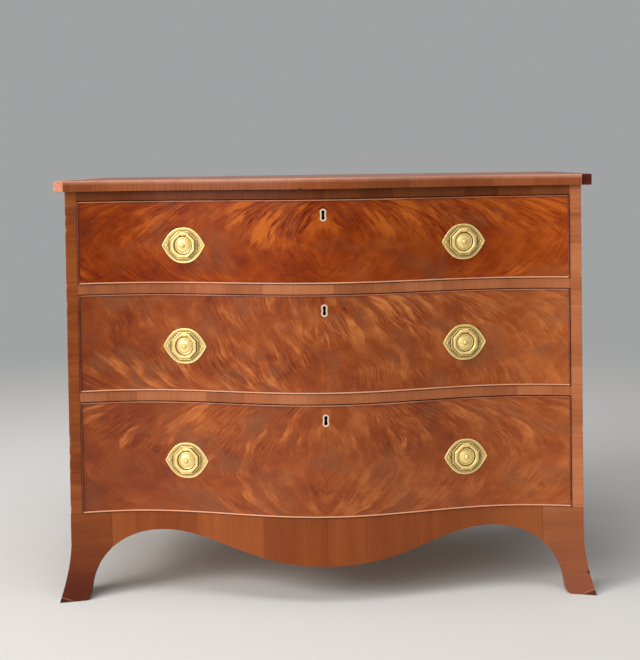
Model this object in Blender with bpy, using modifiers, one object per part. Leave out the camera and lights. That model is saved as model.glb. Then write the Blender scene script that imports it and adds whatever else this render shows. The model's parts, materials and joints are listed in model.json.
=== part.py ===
"""Serpentine chest of three long drawers on splayed bracket feet.

Metres, +Z up, the front towards -Y. The origin is on the floor, under the middle of the whole chest.
"""

import math

import bmesh
import bpy
from mathutils import Matrix, Vector

# Case
CASE_WIDTH = 1.030
CASE_DEPTH = 0.470
BASE_HEIGHT = 0.170
BOTTOM_DRAWER_OPENING = 0.225
MIDDLE_DRAWER_OPENING = 0.197
TOP_DRAWER_OPENING = 0.168
RAIL_HEIGHT = 0.0195
TOP_RAIL_HEIGHT = 0.019
SIDE_THICKNESS = 0.022
STILE_DEPTH = 0.035
RAIL_BACK = 0.055
FACING_THICKNESS = 0.022
DUST_BOARD_THICKNESS = 0.012
BOTTOM_BOARD_THICKNESS = 0.018
BACK_BOARD_THICKNESS = 0.010

# Top
TOP_THICKNESS = 0.022
TOP_FRONT_OVERHANG = 0.012
TOP_EDGE_ROUND = 0.0015
LIPPING_WIDTH = 0.020
LIPPING_SET_BACK = 0.003

# Serpentine front, seen from above: how far it swells and hollows from its base line
BULGE = 0.055
HOLLOW = 0.014
HOLLOW_FROM_MIDDLE = 0.385

# Splayed bracket feet and the apron between them
FOOT_FLOOR_WIDTH = 0.039
FOOT_FRONT_WIDTH = 0.080
FOOT_RETURN_WIDTH = 0.115
FOOT_SPLAY = 0.020
SPLAY_HEIGHT = 0.110
SPLAY_POWER = 1.7
TOE_ROUND = 0.010
ARCH_HEIGHT = 0.134
ARCH_REACH = 0.151
ARCH_POWER = 2.2
APRON_DROP = 0.060
APRON_SKEW = 1.25

# Drawers
FRONT_CLEARANCE = 0.001
BEAD_THICKNESS = 0.003
BEAD_PROUD = 0.0025
BEAD_DEPTH = 0.010
DRAWER_SIDE_THICKNESS = 0.010
DRAWER_SIDE_PLAY = 0.0015
DRAWER_HEAD_ROOM = 0.006
DRAWER_BACK_DROP = 0.012
DRAWER_BOTTOM_THICKNESS = 0.006
DRAWER_BOTTOM_RISE = 0.008
DRAWER_BACK_ROOM = 0.012
GROOVE_DEPTH = 0.004
DOVETAIL_LENGTH = 0.008
DOVETAIL_PITCH = 0.042
DOVETAIL_PIN = 0.008
DOVETAIL_FLARE = 0.0014

# Locks and their inlaid keyhole plates
LOCK_DROP = 0.032
LOCK_WIDTH = 0.056
LOCK_HEIGHT = 0.038
LOCK_DEPTH = 0.011
KEY_LOBE = 0.0034
KEY_SPACING = 0.0118
KEY_WAIST = 0.0009
ESCUTCHEON_RIM = 0.0034
ESCUTCHEON_DEPTH = 0.002

# Ring handles
HANDLE_FROM_MIDDLE = 0.280
HANDLE_DROP = 0.007
PLATE_WIDTH = 0.090
PLATE_HEIGHT = 0.071
PLATE_POWER = 2.5
PLATE_THICKNESS = 0.0010
OCTAGON_FLATS = 0.058
OCTAGON_THICKNESS = 0.0015
RING_APOTHEM = 0.0230
RING_BAR_RADIUS = 0.0022
BOSS_RADIUS = 0.0175
BOSS_HEIGHT = 0.0092
EYE_LENGTH = 0.012
EYE_WALL = 0.0012
BOLT_RADIUS = 0.0025
BOLT_TAIL = 0.008

# Clearances
FIT = 0.0003
EYE_CLEARANCE = 0.0003
RING_GAP = 0.0008
BOLT_CLEARANCE = 0.0005

# Faceting
FRONT_COLUMNS = 36
FOOT_COLUMNS = 4
FOOT_ROWS = 12
PLATE_STEPS = 10
LOBE_STEPS = 8
BOSS_STEPS = 16
ROD_SIDES = 12

# Derived places
HALF_WIDTH = CASE_WIDTH / 2
HALF_OPENING = HALF_WIDTH - SIDE_THICKNESS
LENGTH_OVER_ALL = CASE_DEPTH + BULGE + TOP_FRONT_OVERHANG
BACK_Y = LENGTH_OVER_ALL / 2
BASE_LINE_Y = BACK_Y - CASE_DEPTH
BACK_BOARD_Y = BACK_Y - BACK_BOARD_THICKNESS
RAIL_BACK_Y = BASE_LINE_Y + RAIL_BACK
BOTTOM_DRAWER_Z = BASE_HEIGHT
LOWER_RAIL_Z = BOTTOM_DRAWER_Z + BOTTOM_DRAWER_OPENING
MIDDLE_DRAWER_Z = LOWER_RAIL_Z + RAIL_HEIGHT
UPPER_RAIL_Z = MIDDLE_DRAWER_Z + MIDDLE_DRAWER_OPENING
TOP_DRAWER_Z = UPPER_RAIL_Z + RAIL_HEIGHT
TOP_RAIL_Z = TOP_DRAWER_Z + TOP_DRAWER_OPENING
CASE_TOP_Z = TOP_RAIL_Z + TOP_RAIL_HEIGHT
FOOT_INNER_X = HALF_WIDTH - FOOT_FLOOR_WIDTH
ARCH_CROWN_X = FOOT_INNER_X - ARCH_REACH
EYE_BORE = RING_BAR_RADIUS + EYE_CLEARANCE
EYE_RADIUS = EYE_BORE + EYE_WALL
RING_STAND = OCTAGON_THICKNESS + RING_GAP + RING_BAR_RADIUS

# Finishes: colour, roughness and metallic value
MAHOGANY = ((0.24, 0.075, 0.025), 0.35, 0.0)
FLAME_VENEER = ((0.27, 0.085, 0.025), 0.30, 0.0)
CROSS_VENEER = ((0.29, 0.105, 0.040), 0.35, 0.0)
BEADING = ((0.35, 0.130, 0.070), 0.40, 0.0)
OAK = ((0.42, 0.270, 0.130), 0.60, 0.0)
PINE = ((0.40, 0.240, 0.110), 0.65, 0.0)
BRASS = ((0.80, 0.580, 0.220), 0.25, 1.0)
IRON = ((0.12, 0.110, 0.100), 0.55, 1.0)
BONE = ((0.82, 0.740, 0.600), 0.45, 0.0)


def blend(start, end, share):
    """The value that lies this share of the way from start to end."""
    return start + (end - start) * share


def swell(x):
    """How far the serpentine front stands before its base line at x."""
    swing = (BULGE + HOLLOW) / 2
    return BULGE - swing + swing * math.cos(math.pi * x / HOLLOW_FROM_MIDDLE)


def front_y(x, behind=0.0):
    """Y of the serpentine face at x, or of a parallel face that lies behind it."""
    return BASE_LINE_Y - swell(x) + behind


def front_turn(x):
    """Angle about Z that turns a fitting to lie along the serpentine face at x."""
    step = FIT
    return math.atan2(front_y(x + step) - front_y(x - step), 2 * step)


def splay(z):
    """How far a foot flares out at height z."""
    return FOOT_SPLAY * max(0.0, 1 - z / SPLAY_HEIGHT) ** SPLAY_POWER


def toe(z):
    """How far the inner side of a foot's toe is rounded away at height z."""
    return TOE_ROUND * max(0.0, 1 - z / TOE_ROUND) ** 2


def arch_x(z):
    """Distance from the middle to the inner side of a front foot at height z."""
    rise = min(1.0, z / ARCH_HEIGHT)
    return ARCH_CROWN_X + ARCH_REACH * (1 - rise**ARCH_POWER) ** (1 / ARCH_POWER)


def apron_z(x):
    """Height of the apron's lower edge at x."""
    away = abs(x)
    if away < ARCH_CROWN_X:
        share = (away / ARCH_CROWN_X) ** APRON_SKEW
        return ARCH_HEIGHT - APRON_DROP * (1 + math.cos(math.pi * share)) / 2
    out = (away - ARCH_CROWN_X) / ARCH_REACH
    return ARCH_HEIGHT * (1 - out**ARCH_POWER) ** (1 / ARCH_POWER)


def clear_scene():
    """Removes the objects that the scene starts with."""
    for old in list(bpy.data.objects):
        bpy.data.objects.remove(old, do_unlink=True)


def new_collection(name):
    """A collection of this name, linked to the scene."""
    collection = bpy.data.collections.new(name)
    bpy.context.scene.collection.children.link(collection)
    return collection


def finished_mesh(bm, name):
    """The bmesh as a mesh of this name, with its faces pointing out."""
    bmesh.ops.recalc_face_normals(bm, faces=bm.faces)
    if bm.calc_volume(signed=True) < 0:
        bmesh.ops.reverse_faces(bm, faces=bm.faces)
    mesh = bpy.data.meshes.new(name)
    bm.to_mesh(mesh)
    bm.free()
    return mesh


def block(low, high):
    """A plain block between two corners."""
    bm = bmesh.new()
    size = [b - a for a, b in zip(low, high)]
    middle = [(a + b) / 2 for a, b in zip(low, high)]
    bmesh.ops.create_cube(bm, size=1.0, matrix=Matrix.Translation(middle) @ Matrix.Diagonal((*size, 1)))
    return finished_mesh(bm, "block")


def shaped_block(columns, rows, place):
    """A gridded block whose points place() sets from their shares across, up and back."""
    bm = bmesh.new()
    bmesh.ops.create_grid(bm, x_segments=columns, y_segments=rows, size=0.5)
    bmesh.ops.translate(bm, verts=bm.verts, vec=(0.5, 0.5, 0.0))
    made = bmesh.ops.extrude_face_region(bm, geom=bm.faces[:])["geom"]
    behind = [item for item in made if isinstance(item, bmesh.types.BMVert)]
    bmesh.ops.translate(bm, verts=behind, vec=(0.0, 0.0, 1.0))
    for vert in bm.verts:
        vert.co = place(*vert.co)
    return finished_mesh(bm, "shaped_block")


def curved_block(x_span, z_span, front, back, columns=FRONT_COLUMNS):
    """A block whose front and back faces follow y = front(x) and y = back(x)."""

    def place(across, up, deep):
        x = blend(*x_span, across)
        return x, blend(front(x), back(x), deep), blend(*z_span, up)

    return shaped_block(columns, 1, place)


def facing(x_span, z_span, start, end, columns=FRONT_COLUMNS):
    """A curved block between two distances behind the serpentine face."""
    return curved_block(x_span, z_span, lambda x: front_y(x, start), lambda x: front_y(x, end), columns)


def evaluated_mesh(obj):
    """The object's mesh with its modifiers applied, after which the object is removed."""
    bpy.context.view_layer.update()
    graph = bpy.context.evaluated_depsgraph_get()
    mesh = bpy.data.meshes.new_from_object(obj.evaluated_get(graph))
    bpy.data.objects.remove(obj, do_unlink=True)
    return mesh


def helper_object(name, data):
    """An object that lives only while another mesh is made from it."""
    helper = bpy.data.objects.new(name, data)
    bpy.context.scene.collection.objects.link(helper)
    return helper


def transformed(mesh, matrix):
    """The mesh, moved by the matrix."""
    mesh.transform(matrix)
    return mesh


def outline_plate(outlines, thickness):
    """A flat plate in the XZ plane, its back at y = 0; a second outline is a hole in the first."""
    curve = bpy.data.curves.new("outline", "CURVE")
    curve.dimensions = "2D"
    curve.fill_mode = "BOTH"
    curve.extrude = thickness / 2
    for outline in outlines:
        spline = curve.splines.new("POLY")
        spline.points.add(len(outline) - 1)
        for point, (x, z) in zip(spline.points, outline):
            point.co = (x, z, 0.0, 1.0)
        spline.use_cyclic_u = True
    mesh = evaluated_mesh(helper_object("outline", curve))
    bm = bmesh.new()
    bm.from_mesh(mesh)
    bmesh.ops.remove_doubles(bm, verts=bm.verts, dist=FIT / 100)
    upright = Matrix.Translation((0.0, -thickness / 2, 0.0)) @ Matrix.Rotation(math.pi / 2, 4, "X")
    bmesh.ops.transform(bm, matrix=upright, verts=bm.verts)
    return finished_mesh(bm, "plate")


def side_plate(outlines, x_span, back_y):
    """A plate that runs back from the front, between two x and no further than back_y.

    The outlines' points are distances behind the serpentine face and heights.
    """
    mesh = outline_plate(outlines, 1.0)
    for vert in mesh.vertices:
        behind, share, z = vert.co
        x = blend(*x_span, -share)
        vert.co = (x, min(front_y(x, behind), back_y), z)
    return mesh


def turned(profile, steps):
    """A shape turned about Z from (radius, height) points that run down its outer side."""
    bm = bmesh.new()
    verts = [bm.verts.new((radius, 0.0, height)) for radius, height in profile]
    for upper, lower in zip(verts, verts[1:]):
        bm.edges.new((upper, lower))
    mesh = bpy.data.meshes.new("profile")
    bm.to_mesh(mesh)
    bm.free()
    lathe = helper_object("profile", mesh)
    screw = lathe.modifiers.new("turn", "SCREW")
    screw.steps = steps
    screw.render_steps = steps
    screw.use_merge_vertices = True
    screw.merge_threshold = FIT / 100
    return evaluated_mesh(lathe)


def rod(radius, start, end):
    """A round rod between two points."""
    bm = bmesh.new()
    run = Vector(end) - Vector(start)
    turn = Vector((0, 0, 1)).rotation_difference(run).to_matrix().to_4x4()
    middle = Matrix.Translation((Vector(start) + Vector(end)) / 2)
    bmesh.ops.create_cone(
        bm,
        cap_ends=True,
        segments=ROD_SIDES,
        radius1=radius,
        radius2=radius,
        depth=run.length,
        matrix=middle @ turn,
    )
    return finished_mesh(bm, "rod")


def combined(mesh, others, operation):
    """The mesh with the other meshes joined to it or cut from it, one by one."""
    base = helper_object("base", mesh)
    tools = [helper_object("tool", other) for other in others]
    for tool in tools:
        boolean = base.modifiers.new("combine", "BOOLEAN")
        boolean.operation = operation
        boolean.solver = "EXACT"
        boolean.object = tool
    result = evaluated_mesh(base)
    for tool in tools:
        bpy.data.objects.remove(tool, do_unlink=True)
    return result


def add_finish(obj, finish):
    """Gives the object its own Principled material."""
    colour, roughness, metallic = finish
    material = bpy.data.materials.new(obj.name + "_finish")
    material.use_nodes = True
    shader = material.node_tree.nodes["Principled BSDF"]
    shader.inputs["Base Color"].default_value = (*colour, 1.0)
    shader.inputs["Roughness"].default_value = roughness
    shader.inputs["Metallic"].default_value = metallic
    obj.data.materials.clear()
    obj.data.materials.append(material)


class Chest:
    """The chest's collections, and how a piece or a cutter is put into them."""

    def __init__(self):
        self.pieces = new_collection("serpentine_chest_of_drawers")
        self.cutters = new_collection("cutters")

    def add_frame(self, name, location):
        """An empty that carries the pieces of one drawer."""
        frame = bpy.data.objects.new(name, None)
        frame.location = location
        self.pieces.objects.link(frame)
        return frame

    def add(self, name, data, finish, frame=None, matrix=None, smooth=False):
        """A named piece, with its own finish, placed by matrix and carried by frame."""
        piece = bpy.data.objects.new(name, data)
        self.pieces.objects.link(piece)
        if matrix is not None:
            piece.matrix_world = matrix
        self.carry(piece, frame)
        add_finish(piece, finish)
        if smooth:
            data.shade_smooth()
            data.set_sharp_from_angle(angle=math.radians(40))
        return piece

    def add_cutter(self, name, mesh, frame=None):
        """A cutter, hidden from renders."""
        cutter = bpy.data.objects.new(name, mesh)
        cutter.hide_render = True
        cutter.display_type = "WIRE"
        self.cutters.objects.link(cutter)
        self.carry(cutter, frame)
        return cutter

    def carry(self, piece, frame):
        """Parents the piece to the frame where it stands."""
        if frame is not None:
            piece.parent = frame
            piece.matrix_parent_inverse = Matrix.Translation(frame.location).inverted()

    def cut(self, piece, *cutters):
        """Cuts each cutter from the piece."""
        for cutter in cutters:
            boolean = piece.modifiers.new(cutter.name, "BOOLEAN")
            boolean.operation = "DIFFERENCE"
            boolean.solver = "EXACT"
            boolean.object = cutter


def both_sides():
    """The names and signs of the chest's left and right sides, seen from the front."""
    return ("left", -1), ("right", 1)


def build_top(chest):
    """The top board with its serpentine front edge, and the lipping along each end."""
    reach = HALF_WIDTH - FIT
    levels = (CASE_TOP_Z, CASE_TOP_Z + TOP_THICKNESS)
    overhang = -TOP_FRONT_OVERHANG
    mesh = curved_block((-reach, reach), levels, lambda x: front_y(x, overhang), lambda x: BACK_Y)
    board = chest.add("top_board", mesh, MAHOGANY)
    corner_y = front_y(HALF_WIDTH, overhang) + LIPPING_SET_BACK
    for side, sign in both_sides():
        ends = sorted((sign * HALF_WIDTH, sign * (HALF_WIDTH + LIPPING_WIDTH)))
        mesh = block((ends[0], corner_y, levels[0]), (ends[1], BACK_Y, levels[1]))
        lipping = chest.add(f"top_{side}_lipping", mesh, MAHOGANY)
        round_edges(lipping)
    round_edges(board)


def round_edges(piece):
    """Eases the piece's sharp edges."""
    bevel = piece.modifiers.new("eased_edges", "BEVEL")
    bevel.width = TOP_EDGE_ROUND
    bevel.segments = 1
    bevel.limit_method = "ANGLE"
    bevel.angle_limit = math.radians(50)


def build_case(chest):
    """The sides, stiles, rails, dust boards, bottom and back."""
    inner = HALF_OPENING - FIT
    head = CASE_TOP_Z - FIT
    side_front_y = BASE_LINE_Y + STILE_DEPTH + FIT
    for side, sign in both_sides():
        ends = sorted((sign * HALF_OPENING, sign * HALF_WIDTH))
        mesh = block((ends[0], side_front_y, ARCH_HEIGHT), (ends[1], BACK_Y, head))
        chest.add(f"{side}_side", mesh, MAHOGANY)
        mesh = curved_block(
            ends, (BASE_HEIGHT, head), front_y, lambda x: BASE_LINE_Y + STILE_DEPTH, columns=FOOT_COLUMNS
        )
        chest.add(f"{side}_stile", mesh, CROSS_VENEER)
    rails = (
        ("lower_rail", LOWER_RAIL_Z, RAIL_HEIGHT),
        ("upper_rail", UPPER_RAIL_Z, RAIL_HEIGHT),
        ("top_rail", TOP_RAIL_Z, TOP_RAIL_HEIGHT - FIT),
    )
    for name, z, height in rails:
        mesh = curved_block((-inner, inner), (z, z + height), front_y, lambda x: RAIL_BACK_Y)
        chest.add(name, mesh, CROSS_VENEER)
    boards_y = (RAIL_BACK_Y + FIT, BACK_BOARD_Y - FIT)
    for name, z in (("lower_dust_board", MIDDLE_DRAWER_Z), ("upper_dust_board", TOP_DRAWER_Z)):
        mesh = block((-inner, boards_y[0], z - DUST_BOARD_THICKNESS), (inner, boards_y[1], z))
        chest.add(name, mesh, OAK)
    levels = (BASE_HEIGHT - BOTTOM_BOARD_THICKNESS, BASE_HEIGHT)
    behind = FACING_THICKNESS + FIT
    mesh = curved_block((-inner, inner), levels, lambda x: front_y(x, behind), lambda x: boards_y[1])
    chest.add("bottom_board", mesh, OAK)
    width = 2 * HALF_OPENING / 3
    for index, name in enumerate(("left", "middle", "right")):
        start = -HALF_OPENING + index * width
        mesh = block((start + FIT, BACK_BOARD_Y, ARCH_HEIGHT), (start + width - FIT, BACK_Y, head))
        chest.add(f"{name}_back_board", mesh, PINE)


def build_apron(chest):
    """The shaped apron between the front feet."""
    reach = HALF_WIDTH - FOOT_FRONT_WIDTH - FIT

    def place(across, up, deep):
        x = blend(-reach, reach, across)
        y = front_y(x, FACING_THICKNESS * deep)
        return x, y, blend(apron_z(x), BASE_HEIGHT - FIT, up)

    chest.add("apron", shaped_block(2 * FRONT_COLUMNS, 2, place), CROSS_VENEER)


def foot_block(sign, top, inner_x, return_y, corner_y, inset):
    """A bracket foot: one leg across the chest and one back along its side, mitred at the corner.

    inner_x(z) and return_y(z) give the two legs' free ends at a height, corner_y(x, z) the face of the leg
    across, and inset is the leg's thickness, towards +Y for a front foot and -Y for a back foot.
    """
    wall = abs(inset)

    def place(across, up, deep):
        z = top * up
        outer_x = HALF_WIDTH + splay(z) - wall * deep
        face_y = corner_y(outer_x, z) + inset * deep
        along = 2 * across
        if along <= 1:
            x = blend(inner_x(z), outer_x, along)
            return sign * x, corner_y(x, z) + inset * deep, z
        return sign * outer_x, blend(face_y, return_y(z), along - 1), z

    return shaped_block(2 * FOOT_COLUMNS, FOOT_ROWS, place)


def build_feet(chest):
    """Four splayed bracket feet: the front pair flares forward and sideways, the back pair sideways."""
    front_end = HALF_WIDTH - FOOT_FRONT_WIDTH
    arch_share = ARCH_REACH / (FOOT_RETURN_WIDTH - FOOT_FLOOR_WIDTH)
    lower_top = ARCH_HEIGHT - FIT

    def leg_end(z):
        """Length of a foot's leg along the side at height z."""
        return FOOT_FLOOR_WIDTH + (FOOT_INNER_X - arch_x(z)) / arch_share - toe(z)

    def front_inner(z):
        return max(front_end, arch_x(z) + toe(z))

    def front_face(x, z):
        return front_y(x) - splay(z)

    def back_inner(z):
        return HALF_WIDTH - leg_end(z)

    for side, sign in both_sides():
        mesh = foot_block(
            sign,
            BASE_HEIGHT - FIT,
            front_inner,
            lambda z: BASE_LINE_Y + max(leg_end(z), STILE_DEPTH),
            front_face,
            FACING_THICKNESS,
        )
        foot = chest.add(f"{side}_front_foot", mesh, MAHOGANY)
        step_y = BASE_LINE_Y + STILE_DEPTH
        reach = HALF_WIDTH + FOOT_SPLAY
        low = (-reach, step_y, lower_top)
        high = (reach, BACK_Y, CASE_TOP_Z)
        chest.cut(foot, chest.add_cutter(f"{side}_foot_step_cutter", block(low, high)))
        mesh = foot_block(
            sign,
            lower_top,
            back_inner,
            lambda z: BACK_Y - leg_end(z),
            lambda x, z: BACK_Y,
            -FACING_THICKNESS,
        )
        chest.add(f"{side}_back_foot", mesh, MAHOGANY)


def keyhole_outline(offset):
    """A keyhole with a round lobe at each end and a slight waist, grown by offset."""
    lobe = KEY_LOBE + offset
    half = KEY_SPACING / 2
    points = []
    for sign in (1, -1):
        for step in range(LOBE_STEPS + 1):
            angle = math.pi * step / LOBE_STEPS
            points.append((sign * lobe * math.cos(angle), sign * (half + lobe * math.sin(angle))))
        for share in (0.25, 0.5, 0.75):
            x = lobe - KEY_WAIST * math.sin(math.pi * share)
            points.append((-sign * x, sign * blend(half, -half, share)))
    return points


def handle_outline():
    """The handle plate's pointed oval: two equal curves that meet in a point at each end."""
    half = PLATE_WIDTH / 2
    over = []
    for step in range(-PLATE_STEPS, PLATE_STEPS):
        share = step / PLATE_STEPS
        over.append((half * share, PLATE_HEIGHT / 2 * (1 - abs(share) ** PLATE_POWER)))
    return over + [(-x, -z) for x, z in over]


def octagon(apothem):
    """The corners of an octagon with a flat at its top."""
    radius = apothem / math.cos(math.pi / 8)
    angles = [math.pi / 8 + math.pi / 4 * corner for corner in range(8)]
    return [(radius * math.cos(angle), radius * math.sin(angle)) for angle in angles]


def boss_profile():
    """Half section of the stepped round boss, as shares of its radius and height, from its crown down."""
    shares = (
        (0.00, 1.00),
        (0.15, 0.96),
        (0.25, 0.82),
        (0.27, 0.68),
        (0.50, 0.60),
        (0.70, 0.46),
        (0.75, 0.36),
        (0.82, 0.42),
        (0.92, 0.38),
        (1.00, 0.22),
        (1.00, 0.05),
        (0.00, 0.05),
    )
    return [(BOSS_RADIUS * radius, BOSS_HEIGHT * height) for radius, height in shares]


def handle_plate(x):
    """The handle's back plate with its boss, pierced eye and fixing bolt, bent to the front at x."""
    plate = outline_plate([handle_outline()], PLATE_THICKNESS)
    raised = outline_plate([octagon(OCTAGON_FLATS / 2)], OCTAGON_THICKNESS - FIT)
    raised = transformed(raised, Matrix.Translation((0.0, -FIT, 0.0)))
    boss = transformed(turned(boss_profile(), BOSS_STEPS), Matrix.Rotation(math.pi / 2, 4, "X"))
    eye_half = EYE_LENGTH / 2
    eye = rod(EYE_RADIUS, (-eye_half, -RING_STAND, RING_APOTHEM), (eye_half, -RING_STAND, RING_APOTHEM))
    bore = rod(EYE_BORE, (-EYE_LENGTH, -RING_STAND, RING_APOTHEM), (EYE_LENGTH, -RING_STAND, RING_APOTHEM))
    eye = combined(eye, [bore], "DIFFERENCE")
    tail = FACING_THICKNESS + BOLT_TAIL
    bolt = rod(BOLT_RADIUS, (0.0, -PLATE_THICKNESS, 0.0), (0.0, tail, 0.0))
    mesh = combined(plate, [raised, boss, eye, bolt], "UNION")
    turn = front_turn(x)
    for vert in mesh.vertices:
        face_x = x + vert.co.x * math.cos(turn)
        flat_y = front_y(x) + vert.co.x * math.sin(turn)
        vert.co.y += (front_y(face_x) - flat_y) * math.cos(turn)
    return mesh


def ring_curve():
    """The octagonal ring, hung from its pivot at the origin."""
    curve = bpy.data.curves.new("ring", "CURVE")
    curve.dimensions = "3D"
    curve.bevel_depth = RING_BAR_RADIUS
    curve.bevel_resolution = 2
    spline = curve.splines.new("POLY")
    corners = octagon(RING_APOTHEM)
    spline.points.add(len(corners) - 1)
    for point, (x, z) in zip(spline.points, corners):
        point.co = (x, 0.0, z - RING_APOTHEM, 1.0)
    spline.use_cyclic_u = True
    return curve


def build_handle(chest, frame, name, plate_mesh, x, z):
    """One handle: the plate on the drawer front and the ring that swings from its eye."""
    turn = Matrix.Rotation(front_turn(x), 4, "Z")
    place = Matrix.Translation((x, front_y(x, -FIT), z)) @ turn
    chest.add(f"{name}_plate", plate_mesh.copy(), BRASS, frame, place, smooth=True)
    pivot = place @ Matrix.Translation((0.0, -RING_STAND, RING_APOTHEM))
    chest.add(f"{name}_ring", ring_curve(), BRASS, frame, pivot)


def build_lock(chest, frame, name, key_z):
    """The lock on the back of the drawer front."""
    half = LOCK_WIDTH / 2
    y = front_y(half, FACING_THICKNESS + FIT)
    low = (-half, y, key_z - LOCK_HEIGHT / 2)
    high = (half, y + LOCK_DEPTH, key_z + LOCK_HEIGHT / 2)
    chest.add(f"{name}_lock", block(low, high), IRON, frame)


def build_front(chest, frame, name, z, height, key_z, handle_z):
    """A drawer's rebated serpentine front, its bead and keyhole plate; returns the front."""
    reach = HALF_OPENING - FRONT_CLEARANCE
    levels = (z + FRONT_CLEARANCE, z + height - FRONT_CLEARANCE)
    lap = BEAD_THICKNESS + FIT
    inner_levels = (levels[0] + lap, levels[1] - lap)
    inner_reach = reach - lap
    rebate = BEAD_DEPTH + FIT
    face = facing((-inner_reach, inner_reach), inner_levels, 0.0, rebate + BEAD_THICKNESS)
    core = facing((-reach, reach), levels, rebate, FACING_THICKNESS)
    front = chest.add(f"{name}_front", combined(core, [face], "UNION"), FLAME_VENEER, frame)
    rim = facing((-reach, reach), levels, -BEAD_PROUD, BEAD_DEPTH)
    inside = (inner_reach + FIT, inner_levels[0] - FIT, inner_levels[1] + FIT)
    hole = facing((-inside[0], inside[0]), inside[1:], -2 * BEAD_PROUD, 2 * BEAD_DEPTH)
    chest.add(f"{name}_bead", combined(rim, [hole], "DIFFERENCE"), BEADING, frame)
    build_keyhole(chest, frame, name, front, key_z)
    for side, sign in both_sides():
        x = sign * HANDLE_FROM_MIDDLE
        turn = Matrix.Translation((x, front_y(x), handle_z)) @ Matrix.Rotation(front_turn(x), 4, "Z")
        reach_y = FACING_THICKNESS + BOLT_TAIL
        hole = rod(BOLT_RADIUS + BOLT_CLEARANCE, (0.0, -reach_y, 0.0), (0.0, reach_y, 0.0))
        chest.cut(front, chest.add_cutter(f"{name}_{side}_bolt_cutter", transformed(hole, turn), frame))
    return front


def build_keyhole(chest, frame, name, front, key_z):
    """The inlaid keyhole plate, its recess and the keyhole through the drawer front."""
    face = front_y(0.0)
    recess = outline_plate([keyhole_outline(ESCUTCHEON_RIM + FIT)], 2 * (ESCUTCHEON_DEPTH + FIT))
    recess = transformed(recess, Matrix.Translation((0.0, face + ESCUTCHEON_DEPTH + FIT, key_z)))
    keyhole = outline_plate([keyhole_outline(0.0)], 2 * FACING_THICKNESS)
    keyhole = transformed(keyhole, Matrix.Translation((0.0, face + 3 * FACING_THICKNESS / 2, key_z)))
    chest.cut(front, chest.add_cutter(f"{name}_recess_cutter", recess, frame))
    chest.cut(front, chest.add_cutter(f"{name}_keyhole_cutter", keyhole, frame))
    inlay = outline_plate([keyhole_outline(ESCUTCHEON_RIM), keyhole_outline(0.0)], ESCUTCHEON_DEPTH)
    inlay = transformed(inlay, Matrix.Translation((0.0, face + ESCUTCHEON_DEPTH, key_z)))
    chest.add(f"{name}_escutcheon", inlay, BONE, frame)


def dovetails(floor_z, head_z, growth=0.0):
    """Outlines of the tails on a drawer side's front end, each wider at its tip, or of their sockets."""
    count = round((head_z - floor_z) / DOVETAIL_PITCH)
    pitch = (head_z - floor_z) / count
    tip = FACING_THICKNESS - DOVETAIL_LENGTH - growth
    shoulder = FACING_THICKNESS + FIT + growth
    wide = (pitch - DOVETAIL_PIN) / 2 + growth
    narrow = wide - DOVETAIL_FLARE
    half_section = ((shoulder, narrow), (tip, wide))
    outlines = []
    for index in range(count):
        middle = floor_z + pitch * (index + 0.5)
        below = [(behind, middle - half) for behind, half in half_section]
        above = [(behind, middle + half) for behind, half in reversed(half_section)]
        outlines.append(below + above)
    return outlines


def build_drawer_box(chest, frame, front, name, z, height):
    """A drawer's sides, dovetailed into the front, its back, and the bottom that runs in their grooves."""
    outer = HALF_OPENING - DRAWER_SIDE_PLAY
    inner = outer - DRAWER_SIDE_THICKNESS
    behind = FACING_THICKNESS + FIT
    back_y = BACK_BOARD_Y - DRAWER_BACK_ROOM
    floor_z = z + FIT
    head_z = z + height - DRAWER_HEAD_ROOM
    bottom_z = floor_z + DRAWER_BOTTOM_RISE
    bottom_top = bottom_z + DRAWER_BOTTOM_THICKNESS
    tails = [point for tail in dovetails(floor_z, head_z) for point in tail]
    back_end = [(LENGTH_OVER_ALL, head_z), (LENGTH_OVER_ALL, floor_z)]
    outline = [(behind, floor_z), *tails, (behind, head_z), *back_end]
    for side, sign in both_sides():
        ends = sorted((sign * inner, sign * outer))
        board = chest.add(f"{name}_{side}_side", side_plate([outline], ends, back_y), OAK, frame)
        ends = sorted((sign * (inner - FIT), sign * (inner + GROOVE_DEPTH)))
        levels = (bottom_z - FIT, bottom_top + FIT)
        groove = curved_block(ends, levels, front_y, lambda x: BACK_Y, columns=1)
        chest.cut(board, chest.add_cutter(f"{name}_{side}_groove_cutter", groove, frame))
        ends = sorted((sign * (inner - FIT), sign * HALF_OPENING))
        sockets = side_plate(dovetails(floor_z, head_z, FIT), ends, back_y)
        chest.cut(front, chest.add_cutter(f"{name}_{side}_socket_cutter", sockets, frame))
    reach = inner + GROOVE_DEPTH - FIT
    levels = (bottom_z, bottom_top)
    mesh = curved_block((-reach, reach), levels, lambda x: front_y(x, behind), lambda x: back_y)
    chest.add(f"{name}_bottom", mesh, OAK, frame)
    low = (FIT - inner, back_y - DRAWER_SIDE_THICKNESS, bottom_top + FIT)
    high = (inner - FIT, back_y, head_z - DRAWER_BACK_DROP)
    chest.add(f"{name}_back", block(low, high), OAK, frame)


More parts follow.
